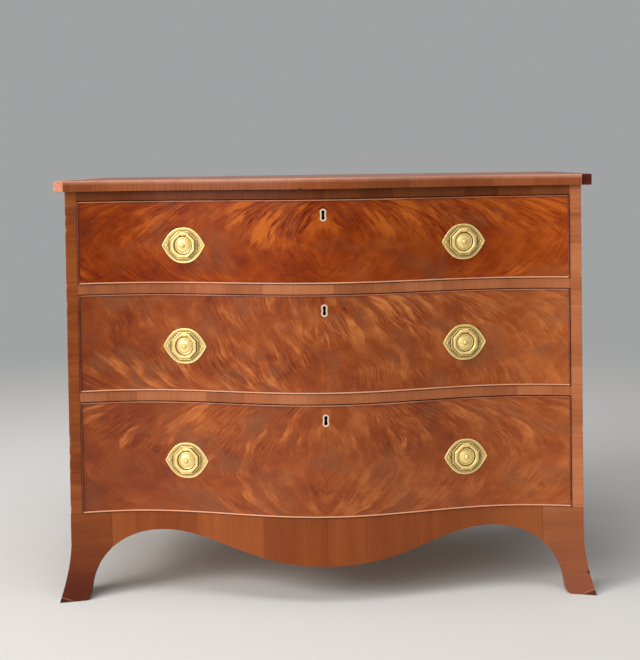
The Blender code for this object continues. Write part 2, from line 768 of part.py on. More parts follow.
def build_drawers(chest):
    """The three drawers, each carried by an empty at its opening."""
    plates = {sign: handle_plate(sign * HANDLE_FROM_MIDDLE) for _, sign in both_sides()}
    drawers = (
        ("top_drawer", TOP_DRAWER_Z, TOP_DRAWER_OPENING),
        ("middle_drawer", MIDDLE_DRAWER_Z, MIDDLE_DRAWER_OPENING),
        ("bottom_drawer", BOTTOM_DRAWER_Z, BOTTOM_DRAWER_OPENING),
    )
    for name, z, height in drawers:
        frame = chest.add_frame(name, (0.0, BASE_LINE_Y, z))
        key_z = z + height - LOCK_DROP
        handle_z = z + height / 2 - HANDLE_DROP
        front = build_front(chest, frame, name, z, height, key_z, handle_z)
        build_lock(chest, frame, name, key_z)
        build_drawer_box(chest, frame, front, name, z, height)
        for side, sign in both_sides():
            build_handle(chest, frame, f"{name}_{side}", plates[sign], sign * HANDLE_FROM_MIDDLE, handle_z)


def main():
    """Builds the chest from the floor up."""
    clear_scene()
    chest = Chest()
    build_feet(chest)
    build_apron(chest)
    build_case(chest)
    build_top(chest)
    build_drawers(chest)


main()
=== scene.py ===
"""The looks of a serpentine chest of drawers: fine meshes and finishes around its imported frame.

Metres, +Z up, the front towards -Y, as in the frame.
"""

import functools
import json
import logging
import math
from collections.abc import Callable, Iterable, Sequence
from dataclasses import dataclass
from enum import Enum
from typing import Optional, Union

import bmesh
import bpy
from mathutils import Matrix, Vector


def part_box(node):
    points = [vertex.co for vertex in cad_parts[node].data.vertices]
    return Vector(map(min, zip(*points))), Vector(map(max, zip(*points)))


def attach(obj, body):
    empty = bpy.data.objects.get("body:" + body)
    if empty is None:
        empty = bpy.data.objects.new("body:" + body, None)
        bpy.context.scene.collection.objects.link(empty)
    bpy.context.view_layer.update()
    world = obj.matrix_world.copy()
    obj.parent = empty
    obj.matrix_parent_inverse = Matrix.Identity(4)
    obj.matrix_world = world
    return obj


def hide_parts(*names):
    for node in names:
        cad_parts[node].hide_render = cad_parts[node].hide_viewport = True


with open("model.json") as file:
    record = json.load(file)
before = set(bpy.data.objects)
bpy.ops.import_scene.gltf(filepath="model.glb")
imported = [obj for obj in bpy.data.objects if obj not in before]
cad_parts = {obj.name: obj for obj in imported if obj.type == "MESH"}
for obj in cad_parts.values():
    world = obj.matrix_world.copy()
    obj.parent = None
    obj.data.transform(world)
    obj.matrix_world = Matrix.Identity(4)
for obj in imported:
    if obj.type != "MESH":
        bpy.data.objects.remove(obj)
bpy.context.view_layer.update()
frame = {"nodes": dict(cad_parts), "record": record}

log = logging.getLogger("chest")

Colour = tuple[float, float, float]
Point = Sequence[float]
Number = Union[float, "Shade"]

CASE_BODY = "case"
TARNISH = "tarnish"
BACKDROP = (0.36, 0.363, 0.366)
FIT = 0.0003
MERGE = 1e-6
SHARP_ANGLE = math.radians(50)
SIDES = (("left", -1), ("right", 1))


@functools.cache
def box_of(node: str) -> tuple[Vector, Vector]:
    """The two corners of a CAD node's box, measured once."""
    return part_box(node)


def mixed(start: float, end: float, share: float) -> float:
    """The value that lies this share of the way from start to end."""
    return start + (end - start) * share


class Shade:
    """A shader value that arithmetic can be written on."""

    def __init__(self, recipe: "Recipe", socket: bpy.types.NodeSocket) -> None:
        """Wraps an output socket of the recipe's node tree."""
        self.recipe = recipe
        self.socket = socket

    def out(self, name: str) -> "Shade":
        """Another output of the same node."""
        return Shade(self.recipe, self.socket.node.outputs[name])

    def _math(self, operation: str, first: Number, second: Number = 0.0) -> "Shade":
        """One Math node on two values."""
        return self.recipe.node("ShaderNodeMath", {"operation": operation}, {0: first, 1: second})

    def __add__(self, other: Number) -> "Shade":
        """Sum."""
        return self._math("ADD", self, other)

    def __radd__(self, other: Number) -> "Shade":
        """Sum, from the right."""
        return self._math("ADD", other, self)

    def __sub__(self, other: Number) -> "Shade":
        """Difference."""
        return self._math("SUBTRACT", self, other)

    def __rsub__(self, other: Number) -> "Shade":
        """Difference, from the right."""
        return self._math("SUBTRACT", other, self)

    def __mul__(self, other: Number) -> "Shade":
        """Product."""
        return self._math("MULTIPLY", self, other)

    def __rmul__(self, other: Number) -> "Shade":
        """Product, from the right."""
        return self._math("MULTIPLY", other, self)

    def __truediv__(self, other: Number) -> "Shade":
        """Quotient."""
        return self._math("DIVIDE", self, other)

    def __abs__(self) -> "Shade":
        """Size without its sign."""
        return self._math("ABSOLUTE", self)

    def floor(self) -> "Shade":
        """Whole part."""
        return self._math("FLOOR", self)

    def positive(self) -> "Shade":
        """The value, or zero where it is negative."""
        return self._math("MAXIMUM", self)

    def root(self) -> "Shade":
        """Square root."""
        return self._math("SQRT", self)

    def centred(self, contrast: float) -> "Shade":
        """A noise value about zero, stretched by contrast."""
        return (self - 0.5) * contrast


class Recipe:
    """A material's node tree, written as expressions."""

    def __init__(self, name: str) -> None:
        """Starts a material with its Principled shader and the place on the piece, in metres in the frame.

        Args:
            name: the material's name.
        """
        self.material = bpy.data.materials.new(name)
        self.material.use_nodes = True
        self.tree = self.material.node_tree
        self.shader = self.tree.nodes["Principled BSDF"]
        place = self.node("ShaderNodeTexCoord", output="Object")
        self.x = self.node("ShaderNodeSeparateXYZ", {}, {0: place})
        self.y = self.x.out("Y")
        self.z = self.x.out("Z")

    def feed(self, socket: bpy.types.NodeSocket, value: Union[Number, Sequence[float]]) -> None:
        """Links a value to a socket, or sets the socket.

        Args:
            socket: an input of the tree.
            value: a shade to link, or a number, colour or vector to set.
        """
        if isinstance(value, Shade):
            self.tree.links.new(value.socket, socket)
        elif socket.type == "RGBA":
            socket.default_value = (*value, 1.0)
        else:
            socket.default_value = value

    def node(
        self,
        kind: str,
        settings: Optional[dict] = None,
        sockets: Optional[dict] = None,
        output: Union[int, str] = 0,
    ) -> Shade:
        """Adds one node.

        Args:
            kind: the node's type.
            settings: its settings; stops holds the stops of a ramp.
            sockets: the values or links of its inputs.
            output: which output to return.

        Returns:
            The output as a shade.
        """
        made = self.tree.nodes.new(kind)
        for key, value in (settings or {}).items():
            if key == "stops":
                self._set_stops(made.color_ramp, value)
            else:
                setattr(made, key, value)
        for key, value in (sockets or {}).items():
            self.feed(made.inputs[key], value)
        return Shade(self, made.outputs[output])

    @staticmethod
    def _set_stops(ramp: bpy.types.ColorRamp, stops: Sequence[tuple[float, Colour]]) -> None:
        """Gives a colour ramp its stops.

        Args:
            ramp: the ramp.
            stops: place and colour of each stop.
        """
        while len(ramp.elements) < len(stops):
            ramp.elements.new(1.0)
        for element, (place, colour) in zip(ramp.elements, stops):
            element.position = place
            element.color = (*colour, 1.0)

    def vector(self, x: Number, y: Number, z: Number) -> Shade:
        """A vector from three values."""
        return self.node("ShaderNodeCombineXYZ", {}, {0: x, 1: y, 2: z})

    def length(self, x: Number, y: Number, z: Number) -> Shade:
        """Length of a vector."""
        return self.node("ShaderNodeVectorMath", {"operation": "LENGTH"}, {0: self.vector(x, y, z)}, "Value")

    def noise(
        self,
        x: Number,
        y: Number,
        z: Number,
        detail: float = 3.0,
        roughness: float = 0.5,
        distortion: float = 0.0,
    ) -> Shade:
        """Soft noise of one feature a unit.

        Args:
            x: first place in the noise.
            y: second place.
            z: third place.
            detail: octaves of finer noise.
            roughness: how strong the finer noise is.
            distortion: how far the noise is pulled about.

        Returns:
            A value from 0 to 1.
        """
        sockets = {
            "Vector": self.vector(x, y, z),
            "Scale": 1.0,
            "Detail": detail,
            "Roughness": roughness,
            "Distortion": distortion,
        }
        return self.node("ShaderNodeTexNoise", {"noise_dimensions": "3D"}, sockets)

    def chance(self, number: Shade) -> Shade:
        """A value from 0 to 1 by chance, the same for equal numbers."""
        return self.node("ShaderNodeTexWhiteNoise", {"noise_dimensions": "1D"}, {"W": number})

    def tarnish(self) -> Shade:
        """How tarnished the mesh is, from 0 to 1."""
        return self.node("ShaderNodeAttribute", {"attribute_name": TARNISH}, output="Fac")

    def step(self, value: Number, low: float, high: float) -> Shade:
        """A smooth step from 0 at low to 1 at high."""
        settings = {"interpolation_type": "SMOOTHSTEP"}
        return self.node("ShaderNodeMapRange", settings, {"Value": value, "From Min": low, "From Max": high})

    def ramp(self, value: Shade, stops: Sequence[tuple[float, Colour]]) -> Shade:
        """A colour ramp."""
        return self.node("ShaderNodeValToRGB", {"stops": stops}, {0: value})

    def mix(self, share: Number, first: Union[Shade, Colour], second: Union[Shade, Colour]) -> Shade:
        """Two colours mixed by share."""
        return self.node("ShaderNodeMix", {"data_type": "RGBA"}, {0: share, 6: first, 7: second}, output=2)

    def bump(self, height: Shade, distance: float, strength: float = 1.0) -> Shade:
        """A normal from a height, distance metres high."""
        return self.node("ShaderNodeBump", {}, {"Strength": strength, "Distance": distance, "Height": height})

    def set(self, **sockets: Union[Number, Sequence[float]]) -> bpy.types.Material:
        """Feeds the shader.

        Args:
            sockets: the value of each socket, named with underscores for spaces.

        Returns:
            The material.
        """
        for name, value in sockets.items():
            self.feed(self.shader.inputs[name.replace("_", " ")], value)
        return self.material


class Grain(Enum):
    """The way that fibres run, as the stretch of a pattern along X, Y and Z."""

    ACROSS = (0.05, 1.0, 1.0)
    DEEP = (1.0, 0.05, 1.0)
    UP = (1.0, 1.0, 0.05)
    LEVEL = (0.05, 0.05, 1.0)


@dataclass(frozen=True)
class Polish:
    """How a wood's surface shines."""

    roughness: float = 0.30
    specular: float = 0.30
    coat: float = 0.04
    coat_roughness: float = 0.12

    def sockets(self) -> dict[str, float]:
        """The shader's sockets that stay the same all over a piece."""
        names = ("Specular_IOR_Level", "Coat_Weight", "Coat_Roughness")
        return dict(zip(names, (self.specular, self.coat, self.coat_roughness)))


WAXED = Polish()
DEEP = Polish(specular=0.16, coat=0.02)
BRIGHT = Polish(roughness=0.28, specular=0.30, coat=0.12, coat_roughness=0.10)
RAW = Polish(roughness=0.68, specular=0.22, coat=0.0, coat_roughness=0.5)


@dataclass(frozen=True)
class Wood:
    """Straight-grained wood: ribbons, fibres and pores that run along the grain."""

    name: str
    grain: Grain
    dark: Colour
    middle: Colour
    light: Colour
    polish: Polish = WAXED
    ribbons: float = 34.0
    fibres: float = 240.0
    contrast: float = 1.0
    pores: float = 0.35
    seed: float = 0.0

    def stretched(self, recipe: Recipe, frequency: float, wave: Number = 0.0) -> tuple[Shade, Shade, Shade]:
        """A pattern's place, stretched along the grain.

        Args:
            recipe: the material's tree.
            frequency: features in a metre across the grain.
            wave: moves the pattern, in metres.

        Returns:
            The three values for a noise.
        """
        x, y, z = recipe.x, recipe.y, recipe.z
        along_x, along_y, along_z = (stretch * frequency for stretch in self.grain.value)
        return (x + wave) * along_x + self.seed, (y + wave) * along_y, (z + wave) * along_z

    def tint(self, recipe: Recipe, colour: Shade) -> Shade:
        """The colour with what is special to this piece; plain wood has nothing."""
        return colour

    def tone(self, recipe: Recipe, fibres: Shade, wave: Shade) -> Shade:
        """Lightness of the wood, 0.5 on average.

        Args:
            recipe: the material's tree.
            fibres: the noise of the fibres.
            wave: moves the pattern, in metres.

        Returns:
            The tone.
        """
        ribbons = recipe.noise(*self.stretched(recipe, self.ribbons, wave), detail=2.0)
        x, y, z = recipe.x, recipe.y, recipe.z
        cloud = recipe.noise(x * 6 + self.seed, y * 6, z * 6, detail=2.0)
        spread = ribbons.centred(0.8) + fibres.centred(0.55) + cloud.centred(0.6)
        return spread * self.contrast + 0.5

    def material(self) -> bpy.types.Material:
        """Mixes the finish.

        Returns:
            The material.
        """
        recipe = Recipe(self.name)
        wave = recipe.noise(*self.stretched(recipe, 9.0), detail=1.0).centred(0.05)
        fibres = recipe.noise(*self.stretched(recipe, self.fibres, wave), detail=4.0, roughness=0.6)
        specks = recipe.noise(*self.stretched(recipe, 3 * self.fibres, wave), detail=1.0)
        pores = recipe.step(specks, 0.60, 0.74)
        tone = self.tone(recipe, fibres, wave)
        colour = recipe.ramp(tone, [(0.22, self.dark), (0.5, self.middle), (0.80, self.light)])
        colour = recipe.mix(pores * self.pores, colour, self.dark)
        colour = self.tint(recipe, colour)
        height = fibres * 0.6 - pores * 0.5
        return recipe.set(
            Base_Color=colour,
            Roughness=fibres.centred(0.25) + self.polish.roughness,
            Normal=recipe.bump(height, 0.00025, 0.5),
            **self.polish.sockets(),
        )


@dataclass(frozen=True)
class FootWood(Wood):
    """The feet's mahogany, darker and redder towards the toes, which are chipped at their corners."""

    contrast: float = 0.38
    pores: float = 0.18
    toe: Colour = (0.060, 0.010, 0.007)
    toe_height: float = 0.18
    corner_y: float = 0.0
    chip_x: float = 0.509
    chip_slope: float = 0.38
    bite: float = 0.0
    bite_x: float = 0.5236
    bite_z: float = 0.043

    def tint(self, recipe: Recipe, colour: Shade) -> Shade:
        """Darkens the toe and draws the chip, the pale break above it and the bite in the outer edge.

        Args:
            recipe: the material's tree.
            colour: the plain wood's colour.

        Returns:
            The colour with these marks.
        """
        x, y, z = recipe.x, recipe.y, recipe.z
        away = abs(x)
        by_front = 1 - recipe.step(y, self.corner_y - 0.008, self.corner_y - 0.002)
        wander = recipe.noise(x * 40, y * 40, z * 8, detail=3.0)
        grime = 1 - recipe.step(z + wander.centred(0.03), -0.01, self.toe_height)
        colour = recipe.mix(grime * 0.85, colour, self.toe)
        above = z - (away - self.chip_x) * self.chip_slope + wander.centred(0.004)
        on_chip = recipe.step(away, self.chip_x, self.chip_x + 0.004) * by_front
        line = recipe.step(above, -0.0004, 0.0006) * (1 - recipe.step(above, 0.0014, 0.0030))
        colour = recipe.mix(line * on_chip * 0.30, colour, (0.55, 0.25, 0.15))
        below = 1 - recipe.step(above, -0.0010, 0.0004)
        colour = recipe.mix(below * on_chip * 0.75, colour, (0.045, 0.012, 0.006))
        distance = recipe.length((away - self.bite_x) * 0.6, 0.0, z - self.bite_z)
        bite = (1 - recipe.step(distance + wander.centred(0.004), 0.0015, 0.0050)) * by_front * self.bite
        return recipe.mix(bite, colour, (0.04, 0.006, 0.003))


@dataclass(frozen=True)
class StileWood(Wood):
    """Cross-grained stile veneer in short leaves, with the outer arris rubbed pale in spots."""

    contrast: float = 0.5
    pores: float = 0.2
    leaf: float = 0.062
    arris_x: float = 0.515
    corner_y: float = 0.0

    def tone(self, recipe: Recipe, fibres: Shade, wave: Shade) -> Shade:
        """Wood tone that changes from leaf to leaf.

        Args:
            recipe: the material's tree.
            fibres: the noise of the fibres.
            wave: moves the pattern, in metres.

        Returns:
            The tone.
        """
        leaf = (recipe.z / self.leaf + self.seed).floor()
        return Wood.tone(self, recipe, fibres, wave) + recipe.chance(leaf).centred(0.15)

    def tint(self, recipe: Recipe, colour: Shade) -> Shade:
        """Rubs the arris.

        Args:
            recipe: the material's tree.
            colour: the plain wood's colour.

        Returns:
            The colour with these marks.
        """
        x, y, z = recipe.x, recipe.y, recipe.z
        edge = recipe.step(abs(x), self.arris_x - 0.0035, self.arris_x - 0.0004)
        edge = edge * (1 - recipe.step(y, self.corner_y + 0.0010, self.corner_y + 0.0035))
        spots = recipe.step(recipe.noise(x * 60, y * 60, z * 45 + self.seed, detail=4.0), 0.56, 0.66)
        return recipe.mix(edge * spots * 0.8, colour, (0.50, 0.26, 0.13))


@dataclass(frozen=True)
class CrossVeneer(Wood):
    """Veneer laid in short upright leaves along a rail or an edge."""

    contrast: float = 0.28
    pores: float = 0.08
    leaf: float = 0.070
    jump: float = 0.22
    right_end: float = 0.0

    def tone(self, recipe: Recipe, fibres: Shade, wave: Shade) -> Shade:
        """Wood tone that changes from leaf to leaf, with a fine joint between two.

        Args:
            recipe: the material's tree.
            fibres: the noise of the fibres.
            wave: moves the pattern, in metres.

        Returns:
            The tone.
        """
        x = recipe.x
        place = (x + recipe.noise(x * 9, self.seed, 0.0).centred(0.05)) / self.leaf + self.seed
        leaf = place.floor()
        joint = recipe.step(abs(place - leaf - 0.5), 0.485, 0.5)
        return Wood.tone(self, recipe, fibres, wave) + recipe.chance(leaf).centred(self.jump) - joint * 0.06

    def tint(self, recipe: Recipe, colour: Shade) -> Shade:
        """Bleaches the right-hand end."""
        return recipe.mix(recipe.step(recipe.x, 0.20, 0.45) * self.right_end, colour, (0.290, 0.082, 0.022))


@dataclass(frozen=True)
class EdgeVeneer(CrossVeneer):
    """The top's edge: cross veneer, rubbed pale along its upper arris, with one nick below."""

    contrast: float = 0.20
    jump: float = 0.14
    crest_z: float = 0.84
    nick_x: float = -0.044
    nick_z: float = 0.8195

    def tint(self, recipe: Recipe, colour: Shade) -> Shade:
        """Rubs the arris and darkens the nick.

        Args:
            recipe: the material's tree.
            colour: the plain wood's colour.

        Returns:
            The colour with these marks.
        """
        x, z = recipe.x, recipe.z
        patchy = recipe.noise(x * 25, self.seed, 0.0, detail=3.0)
        crest = recipe.step(z, self.crest_z - 0.0100, self.crest_z - 0.0015)
        colour = recipe.mix(crest * (patchy * 0.6 + 0.25), colour, (0.58, 0.28, 0.19))
        distance = recipe.length((x - self.nick_x) * 0.6, 0.0, z - self.nick_z)
        nick = 1 - recipe.step(distance, 0.0010, 0.0026)
        return recipe.mix(nick * 0.8, colour, (0.03, 0.006, 0.003))


@dataclass(frozen=True)
class BeadWood(Wood):
    """A drawer's bead: rubbed pale below, dull above, and dark with old polish on its upright runs."""

    bottom_z: float = 0.0
    top_z: float = 0.0
    end_x: float = 0.0
    rubbed: Colour = (0.74, 0.34, 0.19)
    grime: Colour = (0.085, 0.010, 0.003)

    def tint(self, recipe: Recipe, colour: Shade) -> Shade:
        """Rubs the lower run and darkens the others.

        Args:
            recipe: the material's tree.
            colour: the plain wood's colour.

        Returns:
            The colour with these marks.
        """
        x, z = recipe.x, recipe.z
        patchy = recipe.noise(x * 14, self.seed, z * 14, detail=3.0)
        rise = z - self.bottom_z
        lower = 1 - recipe.step(rise, 0.0028, 0.0034)
        colour = recipe.mix(lower * (patchy * 0.5 + 0.5), colour, self.rubbed)
        under = 1 - recipe.step(rise, 0.0002, 0.0010)
        upper = recipe.step(z, self.top_z - 0.0012, self.top_z - 0.0004)
        upright = recipe.step(abs(x), self.end_x - 0.0031, self.end_x - 0.0027) * 0.8
        return recipe.mix(under + upper + upright, colour, self.grime)


@dataclass(frozen=True)
class Spray:
    """Lines of a figure that spring from one edge of a drawer front and steepen away from it.

    Spread says how far the lines by the middle run outwards, fan how much further the outer ones do, and near
    and far how strong the plumes are by the middle and by the end of the front.
    """

    spread: float
    fan: float
    from_top: bool
    near: float
    far: float

    def lines(self, out: Shade, rise: Shade, height: float) -> Shade:
        """A value in metres that is the same along each line.

        Args:
            out: distance from the middle of the front.
            rise: distance above its lower edge.
            height: the front's height.

        Returns:
            The value.
        """
        away = height - rise if self.from_top else rise
        root = away.positive().root()
        return (out - root * self.spread) / (root * self.fan + 1.0)


@dataclass(frozen=True)
class Leaf:
    """One half of a drawer front's figure: its lines near the top and near the bottom."""

    upper: Spray
    lower: Spray


@dataclass(frozen=True)
class FlameVeneer:
    """Crotch mahogany, its two leaves meeting on the middle of a drawer front."""

    name: str
    bottom_z: float
    height: float
    left: Leaf
    right: Leaf
    seed: float
    smokiness: float
    strength: float
    dark: Colour
    middle: Colour
    light: Colour
    polish: Polish
    fade: float = 0.20
    cracked: float = 0.0
    crack_x: float = 0.0625
    plumes: float = 23.0
    smoke: Colour = (0.200, 0.064, 0.022)

    def streaks(self, recipe: Recipe, lines: Shade, out: Shade, rise: Shade) -> tuple[Shade, Shade]:
        """Plumes with one crisp edge, and fine threads, both along the figure's lines.

        Args:
            recipe: the material's tree.
            lines: the value that is the same along a line.
            out: distance from the middle.
            rise: distance above the lower edge.

        Returns:
            The plumes, from 0 to 1, and the threads, about zero.
        """
        seed = self.seed
        wander = recipe.noise(out * 7, rise * 7, seed, 2.0).centred(2.0)
        wisp = recipe.noise(out * 16, rise * 16 + seed, lines * 80, 3.0, 0.6).centred(1.0)
        order = lines * self.plumes + wander + wisp
        share = order - order.floor()
        crest = recipe.step(share, 0.05, 0.80) * (1 - recipe.step(share, 0.83, 1.0))
        tuft = recipe.noise(out * 13, rise * 13 + seed, lines * 24, 3.0)
        thread = recipe.noise(out * 20, rise * 20 + seed, lines * 170, 3.0, 0.65)
        hair = recipe.noise(out * 45, rise * 45 + seed, lines * 550, 2.0, 0.6)
        return crest * recipe.step(tuft, 0.40, 0.62), wisp * 0.25 + thread.centred(0.90) + hair.centred(0.85)

    def material(self) -> bpy.types.Material:
        """Mixes the finish.

        Returns:
            The material.
        """
        recipe = Recipe(self.name)
        x, z = recipe.x, recipe.z
        out = abs(x)
        rise = z - self.bottom_z
        on_right = recipe.step(x, -0.0004, 0.0004)
        slow = recipe.noise(x * 6, self.seed, rise * 8, 2.0).centred(0.060)
        quick = recipe.noise(x * 30, self.seed + 3, rise * 30, 3.0).centred(0.007)
        ends = recipe.step(out, 0.10, 0.38)
        zones = []
        for zone in ("upper", "lower"):
            left, right = getattr(self.left, zone), getattr(self.right, zone)
            left_lines = left.lines(out, rise, self.height) * (1 - on_right)
            lines = right.lines(out, rise, self.height) * on_right + left_lines + slow + quick
            plumes, threads = self.streaks(recipe, lines, out, rise)
            near = on_right * (right.near - left.near) + left.near
            far = on_right * (right.far - left.far) + left.far
            weight = near + (far - near) * ends
            zones.append((plumes * weight, threads * (weight * 0.8 + 0.2)))
        (high_plumes, high_threads), (low_plumes, low_threads) = zones
        high = recipe.step(rise / self.height + slow * 4.0, 0.34, 0.66)
        low = 1 - high
        threads = high_threads * high + low_threads * low
        plumes = high_plumes * high + low_plumes * low
        broad = recipe.noise(x * 7, self.seed + 6, rise * 10, 3.0, 0.6, 0.5)
        mottle = recipe.noise(x * 24, self.seed + 9, rise * 34, 4.0, 0.62, 0.9)
        lively = recipe.step(recipe.noise(x * 9, self.seed + 15, rise * 12, 2.0), 0.40, 0.60)
        figure = mottle.centred(0.38) + threads * (lively * 0.95 + 0.26) + plumes * (lively * 0.22 + 0.24)
        tone = 0.39 + broad.centred(0.60) + figure * self.strength + x * self.fade
        colour = recipe.ramp(tone, [(0.10, self.dark), (0.42, self.middle), (0.90, self.light)])
        cloud = recipe.noise(x * 11, self.seed + 12, rise * 15, 4.0, 0.62, 0.7)
        smoke = recipe.step(cloud, 0.46, 0.70) * (1 - plumes)
        colour = recipe.mix(smoke * self.smokiness, colour, self.smoke)
        joint = 1 - recipe.step(out, 0.0002, 0.0009)
        by_crack = 1 - recipe.step(abs(x + quick * 0.3 - self.crack_x), 0.0003, 0.0011)
        crack = by_crack * (1 - recipe.step(rise, 0.06, 0.09))
        colour = recipe.mix(joint * 0.35 + crack * self.cracked, colour, self.dark)
        return recipe.set(
            Base_Color=colour,
            Roughness=threads * 0.10 + cloud.centred(0.25) + self.polish.roughness,
            Normal=recipe.bump(threads, 0.00015, 0.3),
            **self.polish.sockets(),
        )


@dataclass(frozen=True)
class Brass:
    """Old lacquered brass, brown in its grooves."""

    name: str = "old_brass"
    bright: Colour = (1.0, 0.76, 0.30)
    warm: Colour = (0.95, 0.65, 0.20)
    brown: Colour = (0.16, 0.085, 0.018)

    def material(self) -> bpy.types.Material:
        """Mixes the finish.

        Returns:
            The material.
        """
        recipe = Recipe(self.name)
        x, y, z = recipe.x, recipe.y, recipe.z
        cloud = recipe.noise(x * 130, y * 130, z * 130, 3.0, 0.6)
        speck = recipe.noise(x * 900, y * 900, z * 900, 2.0, 0.6)
        colour = recipe.mix(recipe.step(cloud, 0.42, 0.70), self.bright, self.warm)
        dirt = recipe.step(recipe.tarnish() + speck.centred(0.5), 0.18, 0.95)
        colour = recipe.mix(dirt * 0.92, colour, self.brown)
        return recipe.set(
            Base_Color=colour,
            Metallic=0.4,
            Roughness=dirt * 0.30 + cloud.centred(0.20) + 0.30,
            Normal=recipe.bump(speck, 0.00012, 0.35),
        )


@dataclass(frozen=True)
class Iron:
    """Dark, lightly rusted iron."""

    name: str = "lock_iron"
    dark: Colour = (0.045, 0.042, 0.040)
    rust: Colour = (0.13, 0.060, 0.028)

    def material(self) -> bpy.types.Material:
        """Mixes the finish.

        Returns:
            The material.
        """
        recipe = Recipe(self.name)
        x, y, z = recipe.x, recipe.y, recipe.z
        patch = recipe.noise(x * 120, y * 120, z * 120, 5.0, 0.65)
        colour = recipe.mix(recipe.step(patch, 0.50, 0.72), self.dark, self.rust)
        return recipe.set(
            Base_Color=colour,
            Metallic=0.8,
            Roughness=patch.centred(0.6) + 0.5,
            Normal=recipe.bump(patch, 0.0002, 0.4),
        )


@dataclass(frozen=True)
class Bone:
    """Yellowed bone with fine brown streaks."""

    name: str = "bone"
    pale: Colour = (0.70, 0.55, 0.41)
    brown: Colour = (0.40, 0.24, 0.15)

    def material(self) -> bpy.types.Material:
        """Mixes the finish.

        Returns:
            The material.
        """
        recipe = Recipe(self.name)
        x, y, z = recipe.x, recipe.y, recipe.z
        streak = recipe.noise(x * 900, y * 300, z * 120, 4.0, 0.6)
        share = recipe.step(streak, 0.52, 0.78) * 0.5 + recipe.tarnish() * 0.6
        return recipe.set(
            Base_Color=recipe.mix(share, self.pale, self.brown),
            Roughness=streak.centred(0.2) + 0.38,
            Normal=recipe.bump(streak, 0.0001, 0.3),
        )


@dataclass(frozen=True)
class PaleFloor:
    """A pale floor that fades into the backdrop's colour away from the chest."""

    name: str = "pale_floor"
    colour: Colour = (0.70, 0.69, 0.67)
    backdrop: Colour = BACKDROP
    fade_from: float = 1.3
    fade_to: float = 3.6

    def material(self) -> bpy.types.Material:
        """Mixes the finish.

        Returns:
            The material.
        """
        recipe = Recipe(self.name)
        x, y = recipe.x, recipe.y
        speck = recipe.noise(x * 60, y * 60, 0.0, 4.0, 0.6)
        colour = recipe.mix(speck * 0.12, self.colour, (0.55, 0.54, 0.52))
        recipe.set(Base_Color=colour, Roughness=speck.centred(0.1) + 0.7, Specular_IOR_Level=0.2)
        glow = recipe.node("ShaderNodeEmission", {}, {"Color": self.backdrop, "Strength": 1.0})
        share = recipe.step(recipe.length(x, y, 0.0), self.fade_from, self.fade_to)
        shader = Shade(recipe, recipe.shader.outputs[0])
        both = recipe.node("ShaderNodeMixShader", {}, {0: share, 1: shader, 2: glow})
        output = next(node for node in recipe.tree.nodes if node.type == "OUTPUT_MATERIAL")
        recipe.feed(output.inputs["Surface"], both)
        return recipe.material


Colours = dict[str, Colour]


def colours(dark: Colour, middle: Colour, light: Colour, level: float = 1.0) -> Colours:
    """The three colours of a wood, all lightened or darkened by level."""
    shades = {"dark": dark, "middle": middle, "light": light}
    return {name: tuple(channel * level for channel in shade) for name, shade in shades.items()}


RED = ((0.115, 0.020, 0.0035), (0.270, 0.062, 0.012), (0.430, 0.130, 0.036))
BROWN = ((0.190, 0.048, 0.013), (0.380, 0.112, 0.036), (0.540, 0.200, 0.080))
OAK = ((0.20, 0.090, 0.032), (0.38, 0.200, 0.082), (0.52, 0.32, 0.155))
PINE = ((0.15, 0.080, 0.034), (0.30, 0.18, 0.085), (0.42, 0.28, 0.15))
PALE_END = ((0.36, 0.12, 0.060), (0.60, 0.22, 0.125), (0.74, 0.34, 0.22))
DARK_END = ((0.030, 0.003, 0.0006), (0.085, 0.0075, 0.0012), (0.165, 0.022, 0.0045))
PINKISH = ((0.21, 0.058, 0.024), (0.44, 0.150, 0.072), (0.62, 0.28, 0.16))
FLAME_RED = ((0.105, 0.0075, 0.0001), (0.245, 0.034, 0.0010), (0.455, 0.098, 0.0090))
FLAME_BROWN = ((0.125, 0.0140, 0.0008), (0.275, 0.053, 0.0060), (0.580, 0.178, 0.044))


def gridded_block(
    columns: int, rows: int, levels: int, place: Callable[[float, float, int], Point]
) -> bmesh.types.BMesh:
    """A block made from a grid that is extruded back in steps.

    Args:
        columns: cells across the grid.
        rows: cells up the grid.
        levels: how many steps the grid is extruded.
        place: gives a point from its shares across and up and its level.

    Returns:
        The closed block.
    """
    bm = bmesh.new()
    bmesh.ops.create_grid(bm, x_segments=columns, y_segments=rows, size=0.5)
    bmesh.ops.translate(bm, verts=bm.verts, vec=(0.5, 0.5, 0.0))
    cap = bm.faces[:]
    for level in range(levels):
        made = bmesh.ops.extrude_face_region(bm, geom=cap)["geom"]
        if level:
            bmesh.ops.delete(bm, geom=cap, context="FACES")
        cap = [item for item in made if isinstance(item, bmesh.types.BMFace)]
        moving = list({vert for face in cap for vert in face.verts})
        bmesh.ops.translate(bm, verts=moving, vec=(0.0, 0.0, 1.0))
    for vert in bm.verts:
        vert.co = place(vert.co.x, vert.co.y, round(vert.co.z))
    return bm


@dataclass(frozen=True)
class Contour:
    """One closed line of a loft: where its stations are, and how tarnished it is."""

    place: Callable[[int], Point]
    tarnish: float = 0.0


